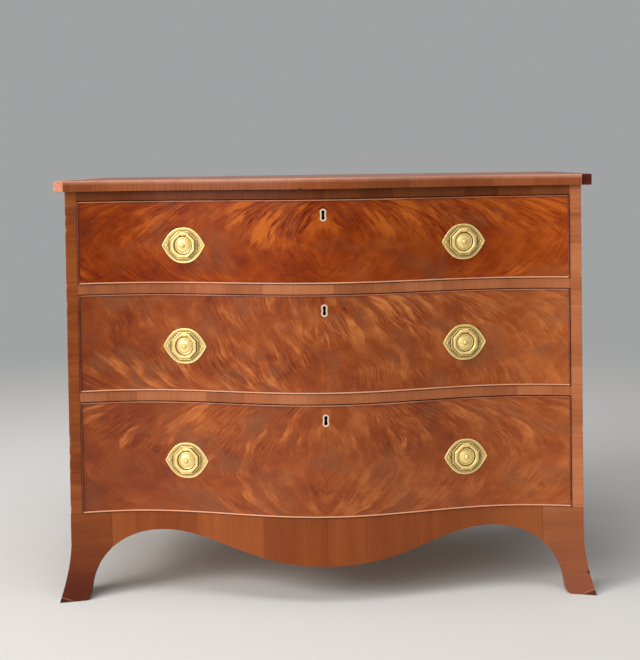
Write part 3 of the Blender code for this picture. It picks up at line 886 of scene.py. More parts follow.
def lofted(stations: int, contours: Sequence[Contour], closed: bool = False) -> bmesh.types.BMesh:
    """A surface through closed contours, each extruded from the one before.

    Args:
        stations: points on each contour.
        contours: the contours in order.
        closed: whether the last contour joins the first; otherwise both ends are capped.

    Returns:
        The closed surface.
    """
    bm = bmesh.new()
    station = bm.verts.layers.int.new("station")
    tarnish = bm.verts.layers.float.new(TARNISH)
    verts = bmesh.ops.create_circle(bm, cap_ends=False, segments=stations, radius=1.0)["verts"]
    for index, vert in enumerate(verts):
        vert[station] = index
    edges = bm.edges[:]
    ends = [edges]
    for number, contour in enumerate([*contours, contours[0]] if closed else contours):
        if number > 0:
            made = bmesh.ops.extrude_edge_only(bm, edges=edges)["geom"]
            edges = [item for item in made if isinstance(item, bmesh.types.BMEdge)]
            verts = [item for item in made if isinstance(item, bmesh.types.BMVert)]
        for vert in verts:
            vert.co = contour.place(vert[station])
            vert[tarnish] = contour.tarnish
    ends.append(edges)
    if closed:
        bmesh.ops.remove_doubles(bm, verts=bm.verts, dist=MERGE)
    else:
        for loop in ends:
            bmesh.ops.edgeloop_fill(bm, edges=loop)
    bm.verts.layers.int.remove(bm.verts.layers.int["station"])
    return bm


def eased(
    bm: bmesh.types.BMesh,
    width: float,
    segments: int = 2,
    chosen: Optional[Callable[[bmesh.types.BMEdge], bool]] = None,
) -> bmesh.types.BMesh:
    """Rounds the block's sharp edges.

    Args:
        bm: the block.
        width: how wide the rounding is.
        segments: its facets.
        chosen: picks among the sharp edges.

    Returns:
        The same block.
    """
    bmesh.ops.recalc_face_normals(bm, faces=bm.faces)
    sharp = [edge for edge in bm.edges if edge.is_manifold and edge.calc_face_angle() > SHARP_ANGLE]
    picked = [edge for edge in sharp if chosen is None or chosen(edge)]
    bmesh.ops.bevel(
        bm,
        geom=picked,
        offset=width,
        affect="EDGES",
        segments=segments,
        profile=0.5,
        material=-1,
        clamp_overlap=True,
    )
    return bm


def block(low: Point, high: Point, ease: float = 0.0008) -> bmesh.types.BMesh:
    """A board with its edges eased.

    Args:
        low: its lowest corner.
        high: its highest corner.
        ease: how wide the easing is.

    Returns:
        The board.
    """
    bm = bmesh.new()
    size = Vector(high) - Vector(low)
    middle = (Vector(high) + Vector(low)) / 2
    bmesh.ops.create_cube(bm, size=1.0, matrix=Matrix.Translation(middle) @ Matrix.Diagonal((*size, 1.0)))
    return eased(bm, ease)


def rod(radius: float, start: Point, end: Point, sides: int = 24) -> bmesh.types.BMesh:
    """A rod between two points.

    Args:
        radius: its radius.
        start: the middle of one end.
        end: the middle of the other.
        sides: facets round it.

    Returns:
        The rod.
    """
    bm = bmesh.new()
    run = Vector(end) - Vector(start)
    turn = Vector((0, 0, 1)).rotation_difference(run).to_matrix().to_4x4()
    place = Matrix.Translation((Vector(start) + Vector(end)) / 2) @ turn
    bmesh.ops.create_cone(
        bm, cap_ends=True, segments=sides, radius1=radius, radius2=radius, depth=run.length, matrix=place
    )
    return bm


def turned(profile: Sequence[tuple[float, float, float]], steps: int = 48) -> bmesh.types.BMesh:
    """A shape turned about Y.

    Args:
        profile: radius, distance along Y and tarnish of each point, from rim to crown.
        steps: facets round the shape.

    Returns:
        The turned surface.
    """
    bm = bmesh.new()
    tarnish = bm.verts.layers.float.new(TARNISH)
    verts = []
    for radius, height, dull in profile:
        vert = bm.verts.new((radius, height, 0.0))
        vert[tarnish] = dull
        verts.append(vert)
    edges = [bm.edges.new(pair) for pair in zip(verts, verts[1:])]
    bmesh.ops.spin(
        bm,
        geom=[*verts, *edges],
        axis=(0, 1, 0),
        cent=(0, 0, 0),
        angle=2 * math.pi,
        steps=steps,
        use_merge=True,
    )
    bmesh.ops.remove_doubles(bm, verts=bm.verts, dist=MERGE)
    return bm


def bead(centre: Point, radius: float, flat: float) -> bmesh.types.BMesh:
    """A small dome on a handle's plate, drawn flat.

    Args:
        centre: its middle, as across, out and up.
        radius: its radius.
        flat: how far it stands out, as a share of the radius.

    Returns:
        The dome.
    """
    bm = bmesh.new()
    place = Matrix.Translation(centre) @ Matrix.Diagonal((1.0, flat, 1.0, 1.0))
    bmesh.ops.create_uvsphere(bm, u_segments=12, v_segments=8, radius=radius, matrix=place)
    return bm


def joined(shapes: Iterable[bmesh.types.BMesh]) -> bmesh.types.BMesh:
    """Several closed shapes as one.

    Args:
        shapes: the shapes, which are used up.

    Returns:
        All of them together.
    """
    bm = bmesh.new()
    bm.verts.layers.float.new(TARNISH)
    for shape in shapes:
        bmesh.ops.recalc_face_normals(shape, faces=shape.faces)
        mesh = bpy.data.meshes.new("shape")
        shape.to_mesh(mesh)
        shape.free()
        bm.from_mesh(mesh)
        bpy.data.meshes.remove(mesh)
    return bm


def cleaned(bm: bmesh.types.BMesh, mesh: bpy.types.Mesh) -> bpy.types.Mesh:
    """Writes a bmesh to a mesh, its doubles merged and its faces pointing out.

    Args:
        bm: the bmesh, which is used up.
        mesh: the mesh to write.

    Returns:
        The same mesh.
    """
    bmesh.ops.dissolve_degenerate(bm, edges=bm.edges, dist=2 * MERGE)
    bmesh.ops.remove_doubles(bm, verts=bm.verts, dist=MERGE)
    bm.normal_update()
    bmesh.ops.recalc_face_normals(bm, faces=bm.faces)
    bm.to_mesh(mesh)
    bm.free()
    return mesh


def new_object(name: str, bm: bmesh.types.BMesh) -> bpy.types.Object:
    """An object at the origin from a bmesh.

    Args:
        name: its name.
        bm: its shape, which is used up.

    Returns:
        The object.
    """
    made = bpy.data.objects.new(name, cleaned(bm, bpy.data.meshes.new(name)))
    bpy.context.scene.collection.objects.link(made)
    return made


def cut(piece: bpy.types.Object, *cutters: bmesh.types.BMesh) -> None:
    """Cuts shapes from a piece for good.

    Args:
        piece: the piece.
        cutters: the shapes, which are used up.
    """
    tools = [new_object("cutter", cutter) for cutter in cutters]
    for tool in tools:
        boolean = piece.modifiers.new("cut", "BOOLEAN")
        boolean.operation = "DIFFERENCE"
        boolean.solver = "EXACT"
        boolean.object = tool
    bpy.context.view_layer.update()
    graph = bpy.context.evaluated_depsgraph_get()
    bm = bmesh.new()
    bm.from_mesh(piece.evaluated_get(graph).data)
    cleaned(bm, piece.data)
    piece.modifiers.clear()
    for tool in tools:
        bpy.data.objects.remove(tool, do_unlink=True)


def put(
    piece: bpy.types.Object,
    body: str,
    slot: str,
    finish: bpy.types.Material,
    *nodes: str,
    sharp: float = 32.0,
) -> bpy.types.Object:
    """Dresses a piece and makes it ride on its body in place of CAD nodes.

    Args:
        piece: the piece, at the origin.
        body: the body that carries it.
        slot: the record's material slot.
        finish: its material.
        nodes: the CAD nodes that it stands for.
        sharp: the angle in degrees from which an edge stays sharp.

    Returns:
        The piece.
    """
    piece.data.materials.append(finish)
    piece.data.shade_smooth()
    piece.data.set_sharp_from_angle(angle=math.radians(sharp))
    even = piece.modifiers.new("even_shading", "WEIGHTED_NORMAL")
    even.keep_sharp = True
    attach(piece, body)
    if nodes:
        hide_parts(*nodes)
    log.info("%s on %s, %d faces", piece.name, body, len(piece.data.polygons))
    return piece


def dress(node: str, finish: bpy.types.Material) -> None:
    """Gives a CAD node that stays its finish.

    Args:
        node: the node's name.
        finish: its material.
    """
    data = frame["nodes"][node].data
    data.materials.clear()
    data.materials.append(finish)
    log.info("%s keeps its shape", node)


@dataclass(frozen=True)
class Serpentine:
    """The curve of the front, seen from above."""

    base_line_y: float
    bulge: float = 0.055
    hollow: float = 0.014
    hollow_from_middle: float = 0.385

    def y(self, x: float, behind: float = 0.0) -> float:
        """Y of the face, or of one behind it.

        Args:
            x: where, from the middle.
            behind: how far behind the face.

        Returns:
            Y in the frame.
        """
        swing = (self.bulge + self.hollow) / 2
        swell = self.bulge - swing + swing * math.cos(math.pi * x / self.hollow_from_middle)
        return self.base_line_y - swell + behind

    def turn(self, x: float) -> float:
        """Angle about Z of the face at x."""
        return math.atan2(self.y(x + FIT) - self.y(x - FIT), 2 * FIT)


CASE_DEPTH = 0.470
STILE_DEPTH = 0.035
DRAWER_FRONT_THICKNESS = 0.022
HALF_WIDTH = box_of("right_side")[1].x
BACK_Y = box_of("right_side")[1].y
FRONT = Serpentine(BACK_Y - CASE_DEPTH)
BODIES: dict[str, Sequence[str]] = frame["record"]["behaviour"]["bodies"]

TOP_WOOD = Wood("top_mahogany", Grain.ACROSS, ribbons=26.0, seed=1.0, **colours(*RED))
EDGE_VENEER = EdgeVeneer(
    "top_edge_veneer", Grain.UP, polish=BRIGHT, seed=11.0, leaf=0.085, **colours(*RED, level=0.86)
)
LEFT_LIPPING = Wood("left_lipping_mahogany", Grain.DEEP, seed=2.0, **colours(*PALE_END))
RIGHT_LIPPING = Wood("right_lipping_mahogany", Grain.DEEP, seed=4.0, **colours(*DARK_END))
CORNER = {"corner_y": FRONT.y(HALF_WIDTH)}
LEFT_STILE = StileWood(
    "left_stile_veneer", Grain.LEVEL, polish=DEEP, seed=0.3, **CORNER, **colours(*RED, level=0.92)
)
RIGHT_STILE = StileWood("right_stile_veneer", Grain.LEVEL, seed=6.7, **CORNER, **colours(*BROWN))
LEFT_PANEL = Wood("left_panel_mahogany", Grain.UP, ribbons=24.0, seed=8.0, **colours(*RED))
RIGHT_PANEL = Wood("right_panel_mahogany", Grain.UP, ribbons=24.0, seed=9.0, **colours(*RED))
RAIL_VENEERS = (
    CrossVeneer("top_rail_veneer", Grain.UP, polish=DEEP, **colours(*RED, level=0.58)),
    CrossVeneer("upper_rail_veneer", Grain.UP, seed=3.7, **colours(*BROWN, level=0.95)),
    CrossVeneer("lower_rail_veneer", Grain.UP, seed=7.4, **colours(*BROWN, level=0.95)),
)
BACK_PINES = (
    Wood("left_back_pine", Grain.UP, polish=RAW, ribbons=22.0, **colours(*PINE)),
    Wood("middle_back_pine", Grain.UP, polish=RAW, ribbons=22.0, seed=5.0, **colours(*PINE)),
    Wood("right_back_pine", Grain.UP, polish=RAW, ribbons=22.0, seed=10.0, **colours(*PINE)),
)
BOARD_OAK = Wood("case_oak", Grain.ACROSS, polish=RAW, seed=3.0, **colours(*OAK))
APRON_VENEER = CrossVeneer(
    "apron_veneer",
    Grain.UP,
    polish=DEEP,
    seed=21.0,
    leaf=0.13,
    jump=0.12,
    right_end=0.7,
    **colours(*RED, level=0.95),
)
LEFT_FOOT = FootWood(
    "left_foot_mahogany", Grain.LEVEL, polish=DEEP, seed=5.0, **CORNER, **colours(*RED, level=0.88)
)
RIGHT_FOOT = FootWood(
    "right_foot_mahogany",
    Grain.LEVEL,
    polish=DEEP,
    seed=7.0,
    toe=(0.20, 0.058, 0.028),
    chip_slope=0.48,
    bite=0.9,
    **CORNER,
    **colours(*BROWN, level=0.76),
)

TOP_LEAF = Leaf(Spray(0.33, 0.9, True, near=1.2, far=0.6), Spray(0.30, 0.3, False, near=0.2, far=0.5))
MIDDLE_LEFT = Leaf(Spray(0.26, 0.8, False, near=0.6, far=0.3), Spray(0.22, 0.75, False, near=0.8, far=0.8))
MIDDLE_RIGHT = Leaf(Spray(0.26, 0.85, True, near=1.1, far=0.5), Spray(0.30, 0.9, True, near=0.3, far=0.3))
BOTTOM_LEAF = Leaf(Spray(0.16, 1.4, True, near=0.8, far=0.8), Spray(0.30, 0.5, False, near=0.6, far=0.25))


@dataclass
class Top:
    """The top board with its veneered front edge, and the lipping along each end."""

    overhang: float = 0.012
    round_over: float = 0.0032
    underside_ease: float = 0.0010
    lipping_ease: float = 0.0022
    front_reach: float = 0.1
    edge_slope: float = -0.3
    columns: int = 140

    def build(self) -> None:
        """Makes the board and both lippings."""
        low, high = box_of("top_board")

        def place(across: float, up: float, level: int) -> Point:
            """A point of the board.

            Args:
                across: share of the way across.
                up: share of the way up.
                level: 0 at the front, 1 at the back.

            Returns:
                The point.
            """
            x = mixed(low.x, high.x, across)
            y = high.y if level else FRONT.y(x, -self.overhang)
            return x, y, mixed(low.z, high.z, up)

        bm = gridded_block(self.columns, 1, 1, place)
        eased(bm, self.round_over, 5, lambda edge: self._on_front(edge, high.z, low.y))
        eased(bm, self.underside_ease, 2, lambda edge: self._on_front(edge, low.z, low.y))
        board = put(new_object("top", bm), CASE_BODY, "mahogany", TOP_WOOD.material(), "top_board")
        board.data.materials.append(EDGE_VENEER.material())
        for face in board.data.polygons:
            face.material_index = 1 if face.normal.y < self.edge_slope else 0
        for side, wood in (("left", LEFT_LIPPING), ("right", RIGHT_LIPPING)):
            node = f"top_{side}_lipping"
            strip = new_object(f"{side}_lipping", block(*box_of(node), self.lipping_ease))
            put(strip, CASE_BODY, "mahogany", wood.material(), node)

    def _on_front(self, edge: bmesh.types.BMEdge, z: float, front_y: float) -> bool:
        """Whether an edge runs along the front at this height."""
        return all(abs(v.co.z - z) < FIT and v.co.y < front_y + self.front_reach for v in edge.verts)


@dataclass
class Case:
    """The case: stiles and rails with a serpentine face, and the flat boards behind them."""

    stile_depth: float = STILE_DEPTH
    rail_back: float = 0.055
    stile_ease: float = 0.0014
    rail_ease: float = 0.0006
    rail_columns: int = 140
    stile_columns: int = 12

    def faced(self, node: str, back_y: float, columns: int) -> bmesh.types.BMesh:
        """A block with a serpentine face.

        Args:
            node: the CAD node that it stands for.
            back_y: where its flat back is.
            columns: cells along its face.

        Returns:
            The block.
        """
        low, high = box_of(node)

        def place(across: float, up: float, level: int) -> Point:
            """A point of the block."""
            x = mixed(low.x, high.x, across)
            return x, back_y if level else FRONT.y(x), mixed(low.z, high.z, up)

        return gridded_block(columns, 1, 1, place)

    def build(self) -> None:
        """Makes the facings and dresses the boards."""
        for (side, sign), wood in zip(SIDES, (LEFT_STILE, RIGHT_STILE)):
            bm = self.faced(f"{side}_stile", FRONT.base_line_y + self.stile_depth, self.stile_columns)
            outer = sign * HALF_WIDTH
            eased(bm, self.stile_ease, 3, lambda edge: all(abs(v.co.x - outer) < FIT for v in edge.verts))
            upright = new_object(f"{side}_upright", bm)
            put(upright, CASE_BODY, "cross_veneer", wood.material(), f"{side}_stile")
        for rail, wood in zip(("top_rail", "upper_rail", "lower_rail"), RAIL_VENEERS):
            bm = self.faced(rail, FRONT.base_line_y + self.rail_back, self.rail_columns)
            eased(bm, self.rail_ease, 2, lambda edge: all(v.co.y < FRONT.y(v.co.x) + FIT for v in edge.verts))
            put(new_object(f"{rail}_face", bm), CASE_BODY, "cross_veneer", wood.material(), rail)
        for side, wood in (("left", LEFT_PANEL), ("right", RIGHT_PANEL)):
            dress(f"{side}_side", wood.material())
        for node in ("upper_dust_board", "lower_dust_board", "bottom_board"):
            dress(node, BOARD_OAK.material())
        for part, pine in zip(("left", "middle", "right"), BACK_PINES):
            dress(f"{part}_back_board", pine.material())


@dataclass
class Base:
    """The shaped apron and the four splayed feet."""

    thickness: float = 0.022
    floor_width: float = 0.039
    front_width: float = 0.080
    return_width: float = 0.115
    splay: float = 0.020
    splay_height: float = 0.110
    splay_power: float = 1.7
    toe_round: float = 0.010
    arch_height: float = 0.134
    arch_reach: float = 0.151
    arch_power: float = 2.2
    apron_drop: float = 0.060
    apron_skew: float = 1.25
    stile_depth: float = STILE_DEPTH
    ease: float = 0.0005
    apron_columns: int = 168
    apron_rows: int = 3
    leg_columns: int = 14
    foot_rows: int = 40
    step_rows: int = 6

    @property
    def inner_x(self) -> float:
        """Distance from the middle to the inner side of a foot at the floor."""
        return HALF_WIDTH - self.floor_width

    @property
    def crown_x(self) -> float:
        """Distance from the middle to the crown of an arch."""
        return self.inner_x - self.arch_reach

    def flare(self, z: float) -> float:
        """How far a foot flares out at height z."""
        return self.splay * max(0.0, 1 - z / self.splay_height) ** self.splay_power

    def toe(self, z: float) -> float:
        """How far the inner side of a toe is rounded away at height z."""
        return self.toe_round * max(0.0, 1 - z / self.toe_round) ** 2

    def arch_x(self, z: float) -> float:
        """Distance from the middle to the inner side of a front foot at height z."""
        rise = min(1.0, z / self.arch_height)
        return self.crown_x + self.arch_reach * (1 - rise**self.arch_power) ** (1 / self.arch_power)

    def apron_z(self, x: float) -> float:
        """Height of the apron's lower edge.

        Args:
            x: where, from the middle.

        Returns:
            Its height above the floor.
        """
        away = abs(x)
        if away < self.crown_x:
            share = (away / self.crown_x) ** self.apron_skew
            return self.arch_height - self.apron_drop * (1 + math.cos(math.pi * share)) / 2
        out = (away - self.crown_x) / self.arch_reach
        return self.arch_height * (1 - out**self.arch_power) ** (1 / self.arch_power)

    def leg_end(self, z: float) -> float:
        """Length of a foot's leg along the side at height z."""
        share = self.arch_reach / (self.return_width - self.floor_width)
        return self.floor_width + (self.inner_x - self.arch_x(z)) / share - self.toe(z)

    def foot(
        self,
        sign: int,
        heights: Sequence[float],
        inner_x: Callable[[float], float],
        return_y: Callable[[float], float],
        face_y: Callable[[float, float], float],
        inset: float,
    ) -> bmesh.types.BMesh:
        """A bracket foot: one leg across the chest and one along its side.

        Args:
            sign: -1 for the left side, 1 for the right.
            heights: the levels of its rows.
            inner_x: where the leg across ends, by height.
            return_y: where the leg along the side ends, by height.
            face_y: the face of the leg across, by x and height.
            inset: the legs' thickness, towards +Y for a front foot and -Y for a back foot.

        Returns:
            The foot.
        """
        rows = len(heights) - 1

        def place(across: float, up: float, level: int) -> Point:
            """A point of the foot: the leg across first, then the leg along the side.

            Args:
                across: share of the way across.
                up: share of the way up.
                level: 0 on the outside, 1 on the inside.

            Returns:
                The point.
            """
            z = heights[round(up * rows)]
            outer_x = HALF_WIDTH + self.flare(z) - abs(inset) * level
            along = 2 * across
            if along <= 1:
                x = mixed(inner_x(z), outer_x, along)
                return sign * x, face_y(x, z) + inset * level, z
            corner_y = face_y(outer_x, z) + inset * level
            return sign * outer_x, mixed(corner_y, return_y(z), along - 1), z

        ledge_y = FRONT.base_line_y + self.stile_depth - self.ease

        def clear(edge: bmesh.types.BMEdge) -> bool:
            """Whether an edge lies away from the ledge under the case's side."""
            ends = [vert.co for vert in edge.verts]
            return not any(abs(end.z - heights[self.foot_rows]) < 2 * FIT and end.y > ledge_y for end in ends)

        return eased(gridded_block(2 * self.leg_columns, rows, 1, place), self.ease, chosen=clear)

    def levels(self, top: float) -> list[float]:
        """Heights from the floor to a foot's top."""
        return [top * row / self.foot_rows for row in range(self.foot_rows + 1)]

    def build(self) -> None:
        """Makes the apron and the feet."""
        low, high = box_of("apron")

        def place(across: float, up: float, level: int) -> Point:
            """A point of the apron."""
            x = mixed(low.x, high.x, across)
            return x, FRONT.y(x, self.thickness * level), mixed(self.apron_z(x), high.z, up)

        bm = eased(gridded_block(self.apron_columns, self.apron_rows, 1, place), self.ease)
        put(new_object("apron_face", bm), CASE_BODY, "cross_veneer", APRON_VENEER.material(), "apron")
        side_end = box_of("left_back_foot")[1].z
        top = box_of("left_front_foot")[1].z
        above = [mixed(side_end + FIT, top, row / self.step_rows) for row in range(self.step_rows + 1)]
        for (side, sign), wood in zip(SIDES, (LEFT_FOOT, RIGHT_FOOT)):
            foot_wood = wood.material()
            bm = self.foot(
                sign,
                self.levels(side_end) + above,
                lambda z: max(HALF_WIDTH - self.front_width, self.arch_x(z) + self.toe(z)),
                lambda z: FRONT.base_line_y + (self.leg_end(z) if z <= side_end else self.stile_depth),
                lambda x, z: FRONT.y(x) - self.flare(z),
                self.thickness,
            )
            put(new_object(f"{side}_fore_foot", bm), CASE_BODY, "mahogany", foot_wood, f"{side}_front_foot")
            bm = self.foot(
                sign,
                self.levels(side_end),
                lambda z: HALF_WIDTH - self.leg_end(z),
                lambda z: BACK_Y - self.leg_end(z),
                lambda x, z: BACK_Y,
                -self.thickness,
            )
            put(new_object(f"{side}_hind_foot", bm), CASE_BODY, "mahogany", foot_wood, f"{side}_back_foot")


@dataclass
class RingHandle:
    """A pointed oval plate with an octagon and a boss, and the octagonal ring that swings from its eye."""

    drawer: str
    side: str
    x: float
    half_length: float = 0.045
    half_height: float = 0.0355
    power: float = 2.5
    octagon: float = 0.0280
    boss_radius: float = 0.0175
    ring_apothem: float = 0.0230
    ring_outer: float = 0.0247
    ring_inner: float = 0.0187
    ring_depth: float = 0.0019
    bar_radius: float = 0.0021
    ring_stand: float = 0.0045
    eye_bore: float = 0.0025
    eye_radius: float = 0.0037
    eye_length: float = 0.012
    bolt_radius: float = 0.0025
    bolt_tail: float = 0.008
    front_thickness: float = DRAWER_FRONT_THICKNESS
    nut_radius: float = 0.0062
    nut_thickness: float = 0.0035
    nut_ease: float = 0.0005
    bar_share: float = 0.72
    field_out: float = 0.0008
    stations: int = 64
    halvings: int = 40

    @property
    def node(self) -> str:
        """Start of the names of this handle's CAD nodes."""
        return f"{self.drawer}_{self.side}"

    @property
    def z(self) -> float:
        """Height of the plate's middle."""
        low, high = box_of(f"{self.node}_plate")
        return (low.z + high.z) / 2

    def angle(self, station: int) -> float:
        """Direction of a station round the handle, from its right-hand point."""
        return 2 * math.pi * station / self.stations

    def oval(self, inset: float, station: int) -> float:
        """Distance from the middle to the plate's outline, found by halving.

        Args:
            inset: how far the outline is drawn in.
            station: which station.

        Returns:
            The distance.
        """
        angle = self.angle(station)
        across, up = abs(math.cos(angle)), abs(math.sin(angle))
        near, far = 0.0, self.half_length
        for _ in range(self.halvings):
            middle = (near + far) / 2
            inside = middle * up < self.half_height * (1 - (middle * across / self.half_length) ** self.power)
            near, far = (middle, far) if inside else (near, middle)
        return near * (1 - inset / self.half_height)

    def octagonal(self, apothem: float, station: int) -> float:
        """Distance from the middle to an octagon with a flat at its top.

        Args:
            apothem: distance from its middle to a flat.
            station: which station.

        Returns:
            The distance.
        """
        angle = self.angle(station)
        flat = math.pi / 4
        return apothem / math.cos(angle - round(angle / flat) * flat)

    def bent(self, bm: bmesh.types.BMesh) -> bmesh.types.BMesh:
        """Lays a shape drawn flat (across, out, up) on the curved drawer front.

        Args:
            bm: the shape.

        Returns:
            The same shape, in the frame.
        """
        turn = FRONT.turn(self.x)
        for vert in bm.verts:
            across, out, up = vert.co
            face_x = self.x + across * math.cos(turn)
            face_y = FRONT.y(face_x, -FIT)
            vert.co = (face_x + out * math.sin(turn), face_y - out * math.cos(turn), self.z + up)
        return bm

    def straight(self, bm: bmesh.types.BMesh) -> bmesh.types.BMesh:
        """Stands a shape drawn flat (across, out, up) before the drawer front, unbent.

        Args:
            bm: the shape.

        Returns:
            The same shape, in the frame.
        """
        turn = FRONT.turn(self.x)
        for vert in bm.verts:
            across, out, up = vert.co
            x = self.x + across * math.cos(turn) + out * math.sin(turn)
            y = FRONT.y(self.x, -FIT) + across * math.sin(turn) - out * math.cos(turn)
            vert.co = (x, y, self.z + up)
        return bm

    def plate_point(self, radius: Callable[[int], float], out: float, station: int) -> Point:
        """A point, drawn flat, of a contour that has this radius at each station."""
        reach, angle = radius(station), self.angle(station)
        return reach * math.cos(angle), out, reach * math.sin(angle)

    def plate_line(self, radius: Callable[[int], float], out: float, tarnish: float) -> Contour:
        """A contour of the plate."""
        return Contour(functools.partial(self.plate_point, radius, out), tarnish)

    def plate(self) -> bmesh.types.BMesh:
        """The plate: a rounded rim, a sunk field and a raised octagon.

        Returns:
            The plate, drawn flat.
        """
        # Inset, distance out and tarnish of each contour
        rim = ((0.0, 0.0, 0.8), (0.0, 0.0008, 0.2), (0.0006, 0.0013, 0.0), (0.0016, 0.0015, 0.0))
        rim += ((0.0026, 0.0012, 0.2), (0.0030, 0.0007, 1.0), (0.0036, 0.0008, 0.45))
        steps = ((0.0, 0.0008, 1.0), (0.0005, 0.0016, 0.1), (0.0012, 0.0019, 0.0), (0.0020, 0.0017, 0.1))
        steps += ((0.0025, 0.0010, 1.0), (0.0036, 0.0010, 0.8))
        contours = []
        for inset, out, dull in rim:
            contours.append(self.plate_line(functools.partial(self.oval, inset), out, dull))
        for inset, out, dull in steps:
            apothem = self.octagon - inset
            contours.append(self.plate_line(functools.partial(self.octagonal, apothem), out, dull))
        contours.append(self.plate_line(lambda station: self.boss_radius, steps[-1][1], 0.9))
        return lofted(self.stations, contours)

    def boss(self) -> bmesh.types.BMesh:
        """The stepped round boss with its button.

        Returns:
            The boss, drawn flat.
        """
        # Radius, distance out and tarnish of each point
        millimetres = (
            (0.0, 0.4, 1.0),
            (17.5, 0.4, 1.0),
            (17.5, 2.6, 0.2),
            (17.0, 3.4, 0.0),
            (16.0, 3.7, 0.0),
            (15.0, 3.3, 0.3),
            (14.5, 2.9, 1.0),
            (14.0, 3.4, 0.3),
            (12.5, 4.4, 0.0),
            (10.2, 5.4, 0.0),
            (9.6, 5.3, 0.5),
            (9.2, 5.6, 0.0),
            (7.0, 6.3, 0.0),
            (5.4, 6.5, 0.15),
            (4.6, 6.3, 1.0),
            (4.2, 7.0, 0.2),
            (3.6, 8.2, 0.0),
            (2.4, 9.0, 0.0),
            (1.0, 9.3, 0.0),
            (0.0, 9.35, 0.0),
        )
        return turned([(radius / 1000, out / 1000, dull) for radius, out, dull in millimetres])

    def eye_point(self, radius: float, across: float, station: int) -> Point:
        """A point of a circle round the ring's bar.

        Args:
            radius: the circle's radius.
            across: its place along the bar.
            station: which station.

        Returns:
            The point, drawn flat.
        """
        angle = self.angle(station)
        out = self.ring_stand + radius * math.cos(angle)
        return across, out, self.ring_apothem + radius * math.sin(angle)

    def eye(self) -> bmesh.types.BMesh:
        """The pierced knuckle that holds the ring.

        Returns:
            The knuckle, drawn flat.
        """
        half, outer, bore = self.eye_length / 2, self.eye_radius, self.eye_bore
        ends = ((outer, -half), (outer, half), (bore, half), (bore, -half))
        circles = [Contour(functools.partial(self.eye_point, *end), 0.25) for end in ends]
        return lofted(self.stations, circles, closed=True)

    def ornaments(self) -> list[bmesh.types.BMesh]:
        """Beads on the field of the plate, towards its points.

        Returns:
            The beads, drawn flat.
        """
        # Distance across, distance up and radius
        small = ((0.0322, 0.0040, 0.0011), (0.0316, 0.0075, 0.0009), (0.0292, 0.0112, 0.0008))
        made = []
        for sign in (-1, 1):
            made.append(bead((sign * 0.0360, self.field_out, 0.0), 0.0019, 0.55))
            for up in (-1, 1):
                for across, height, radius in small:
                    made.append(bead((sign * across, self.field_out, up * height), radius, 0.6))
        return made

    def bolt(self) -> list[bmesh.types.BMesh]:
        """The fixing bolt behind the plate, with its square nut inside the drawer.

        Returns:
            The bolt and the nut, drawn flat.
        """
        behind = -self.front_thickness
        shank = rod(self.bolt_radius, (0, 0, 0), (0, behind - self.bolt_tail, 0))
        nut = rod(self.nut_radius, (0, behind - FIT, 0), (0, behind - self.nut_thickness, 0), 4)
        return [shank, eased(nut, self.nut_ease)]

    def ring_point(self, across: float, out: float, station: int) -> Point:
        """A point on a line round the ring, at one corner of its section.

        Args:
            across: the corner's place across the section, 1 at the outside and -1 at the inside.
            out: its place through the section, 1 at the face.
            station: which station.

        Returns:
            The point, drawn flat.
        """
        angle = self.angle(station)
        from_top = abs(angle - math.pi / 2) / (math.pi / 8)
        full = min(1.0, max(0.0, (from_top - self.bar_share) / (1 - self.bar_share)))
        wide = (self.octagonal(self.ring_outer, station) - self.ring_inner) / 2
        centre = mixed(self.octagonal(self.ring_apothem, station), self.ring_inner + wide, full)
        reach = centre + across * mixed(self.bar_radius, wide, full)
        height = self.ring_stand + out * mixed(self.bar_radius, self.ring_depth, full)
        return reach * math.cos(angle), height, reach * math.sin(angle)

    def ring(self) -> bmesh.types.BMesh:
        """The ring: octagonal outside, round inside, and a plain bar where it runs through its eye.

        Returns:
            The ring, drawn flat.
        """
        # Across and out, as shares of half the section
        face = ((1.0, 0.30), (0.55, 1.0), (-0.45, 1.0), (-1.0, 0.30))
        section = [*face, *((across, -out) for across, out in reversed(face))]
        lines = []
        for across, out in section:
            tarnish = 0.0 if out == 1.0 else 0.75
            lines.append(Contour(functools.partial(self.ring_point, across, out), tarnish))
        return lofted(self.stations, lines, closed=True)

    def build(self, brass: bpy.types.Material) -> None:
        """Makes the plate with all that is fixed to it, and the ring.

        Args:
            brass: the finish of both.
        """
        bends = [self.bent(shape) for shape in (self.plate(), *self.ornaments())]
        fixed = [self.straight(shape) for shape in (self.boss(), self.eye(), *self.bolt())]
        plate = new_object(f"{self.node}_back_plate", joined([*bends, *fixed]))
        put(plate, self.drawer, "brass", brass, f"{self.node}_plate")
        body = next(name for name, nodes in BODIES.items() if f"{self.node}_ring" in nodes)
        ring = new_object(f"{self.node}_bail", self.straight(self.ring()))
        put(ring, body, "brass", brass, f"{self.node}_ring")


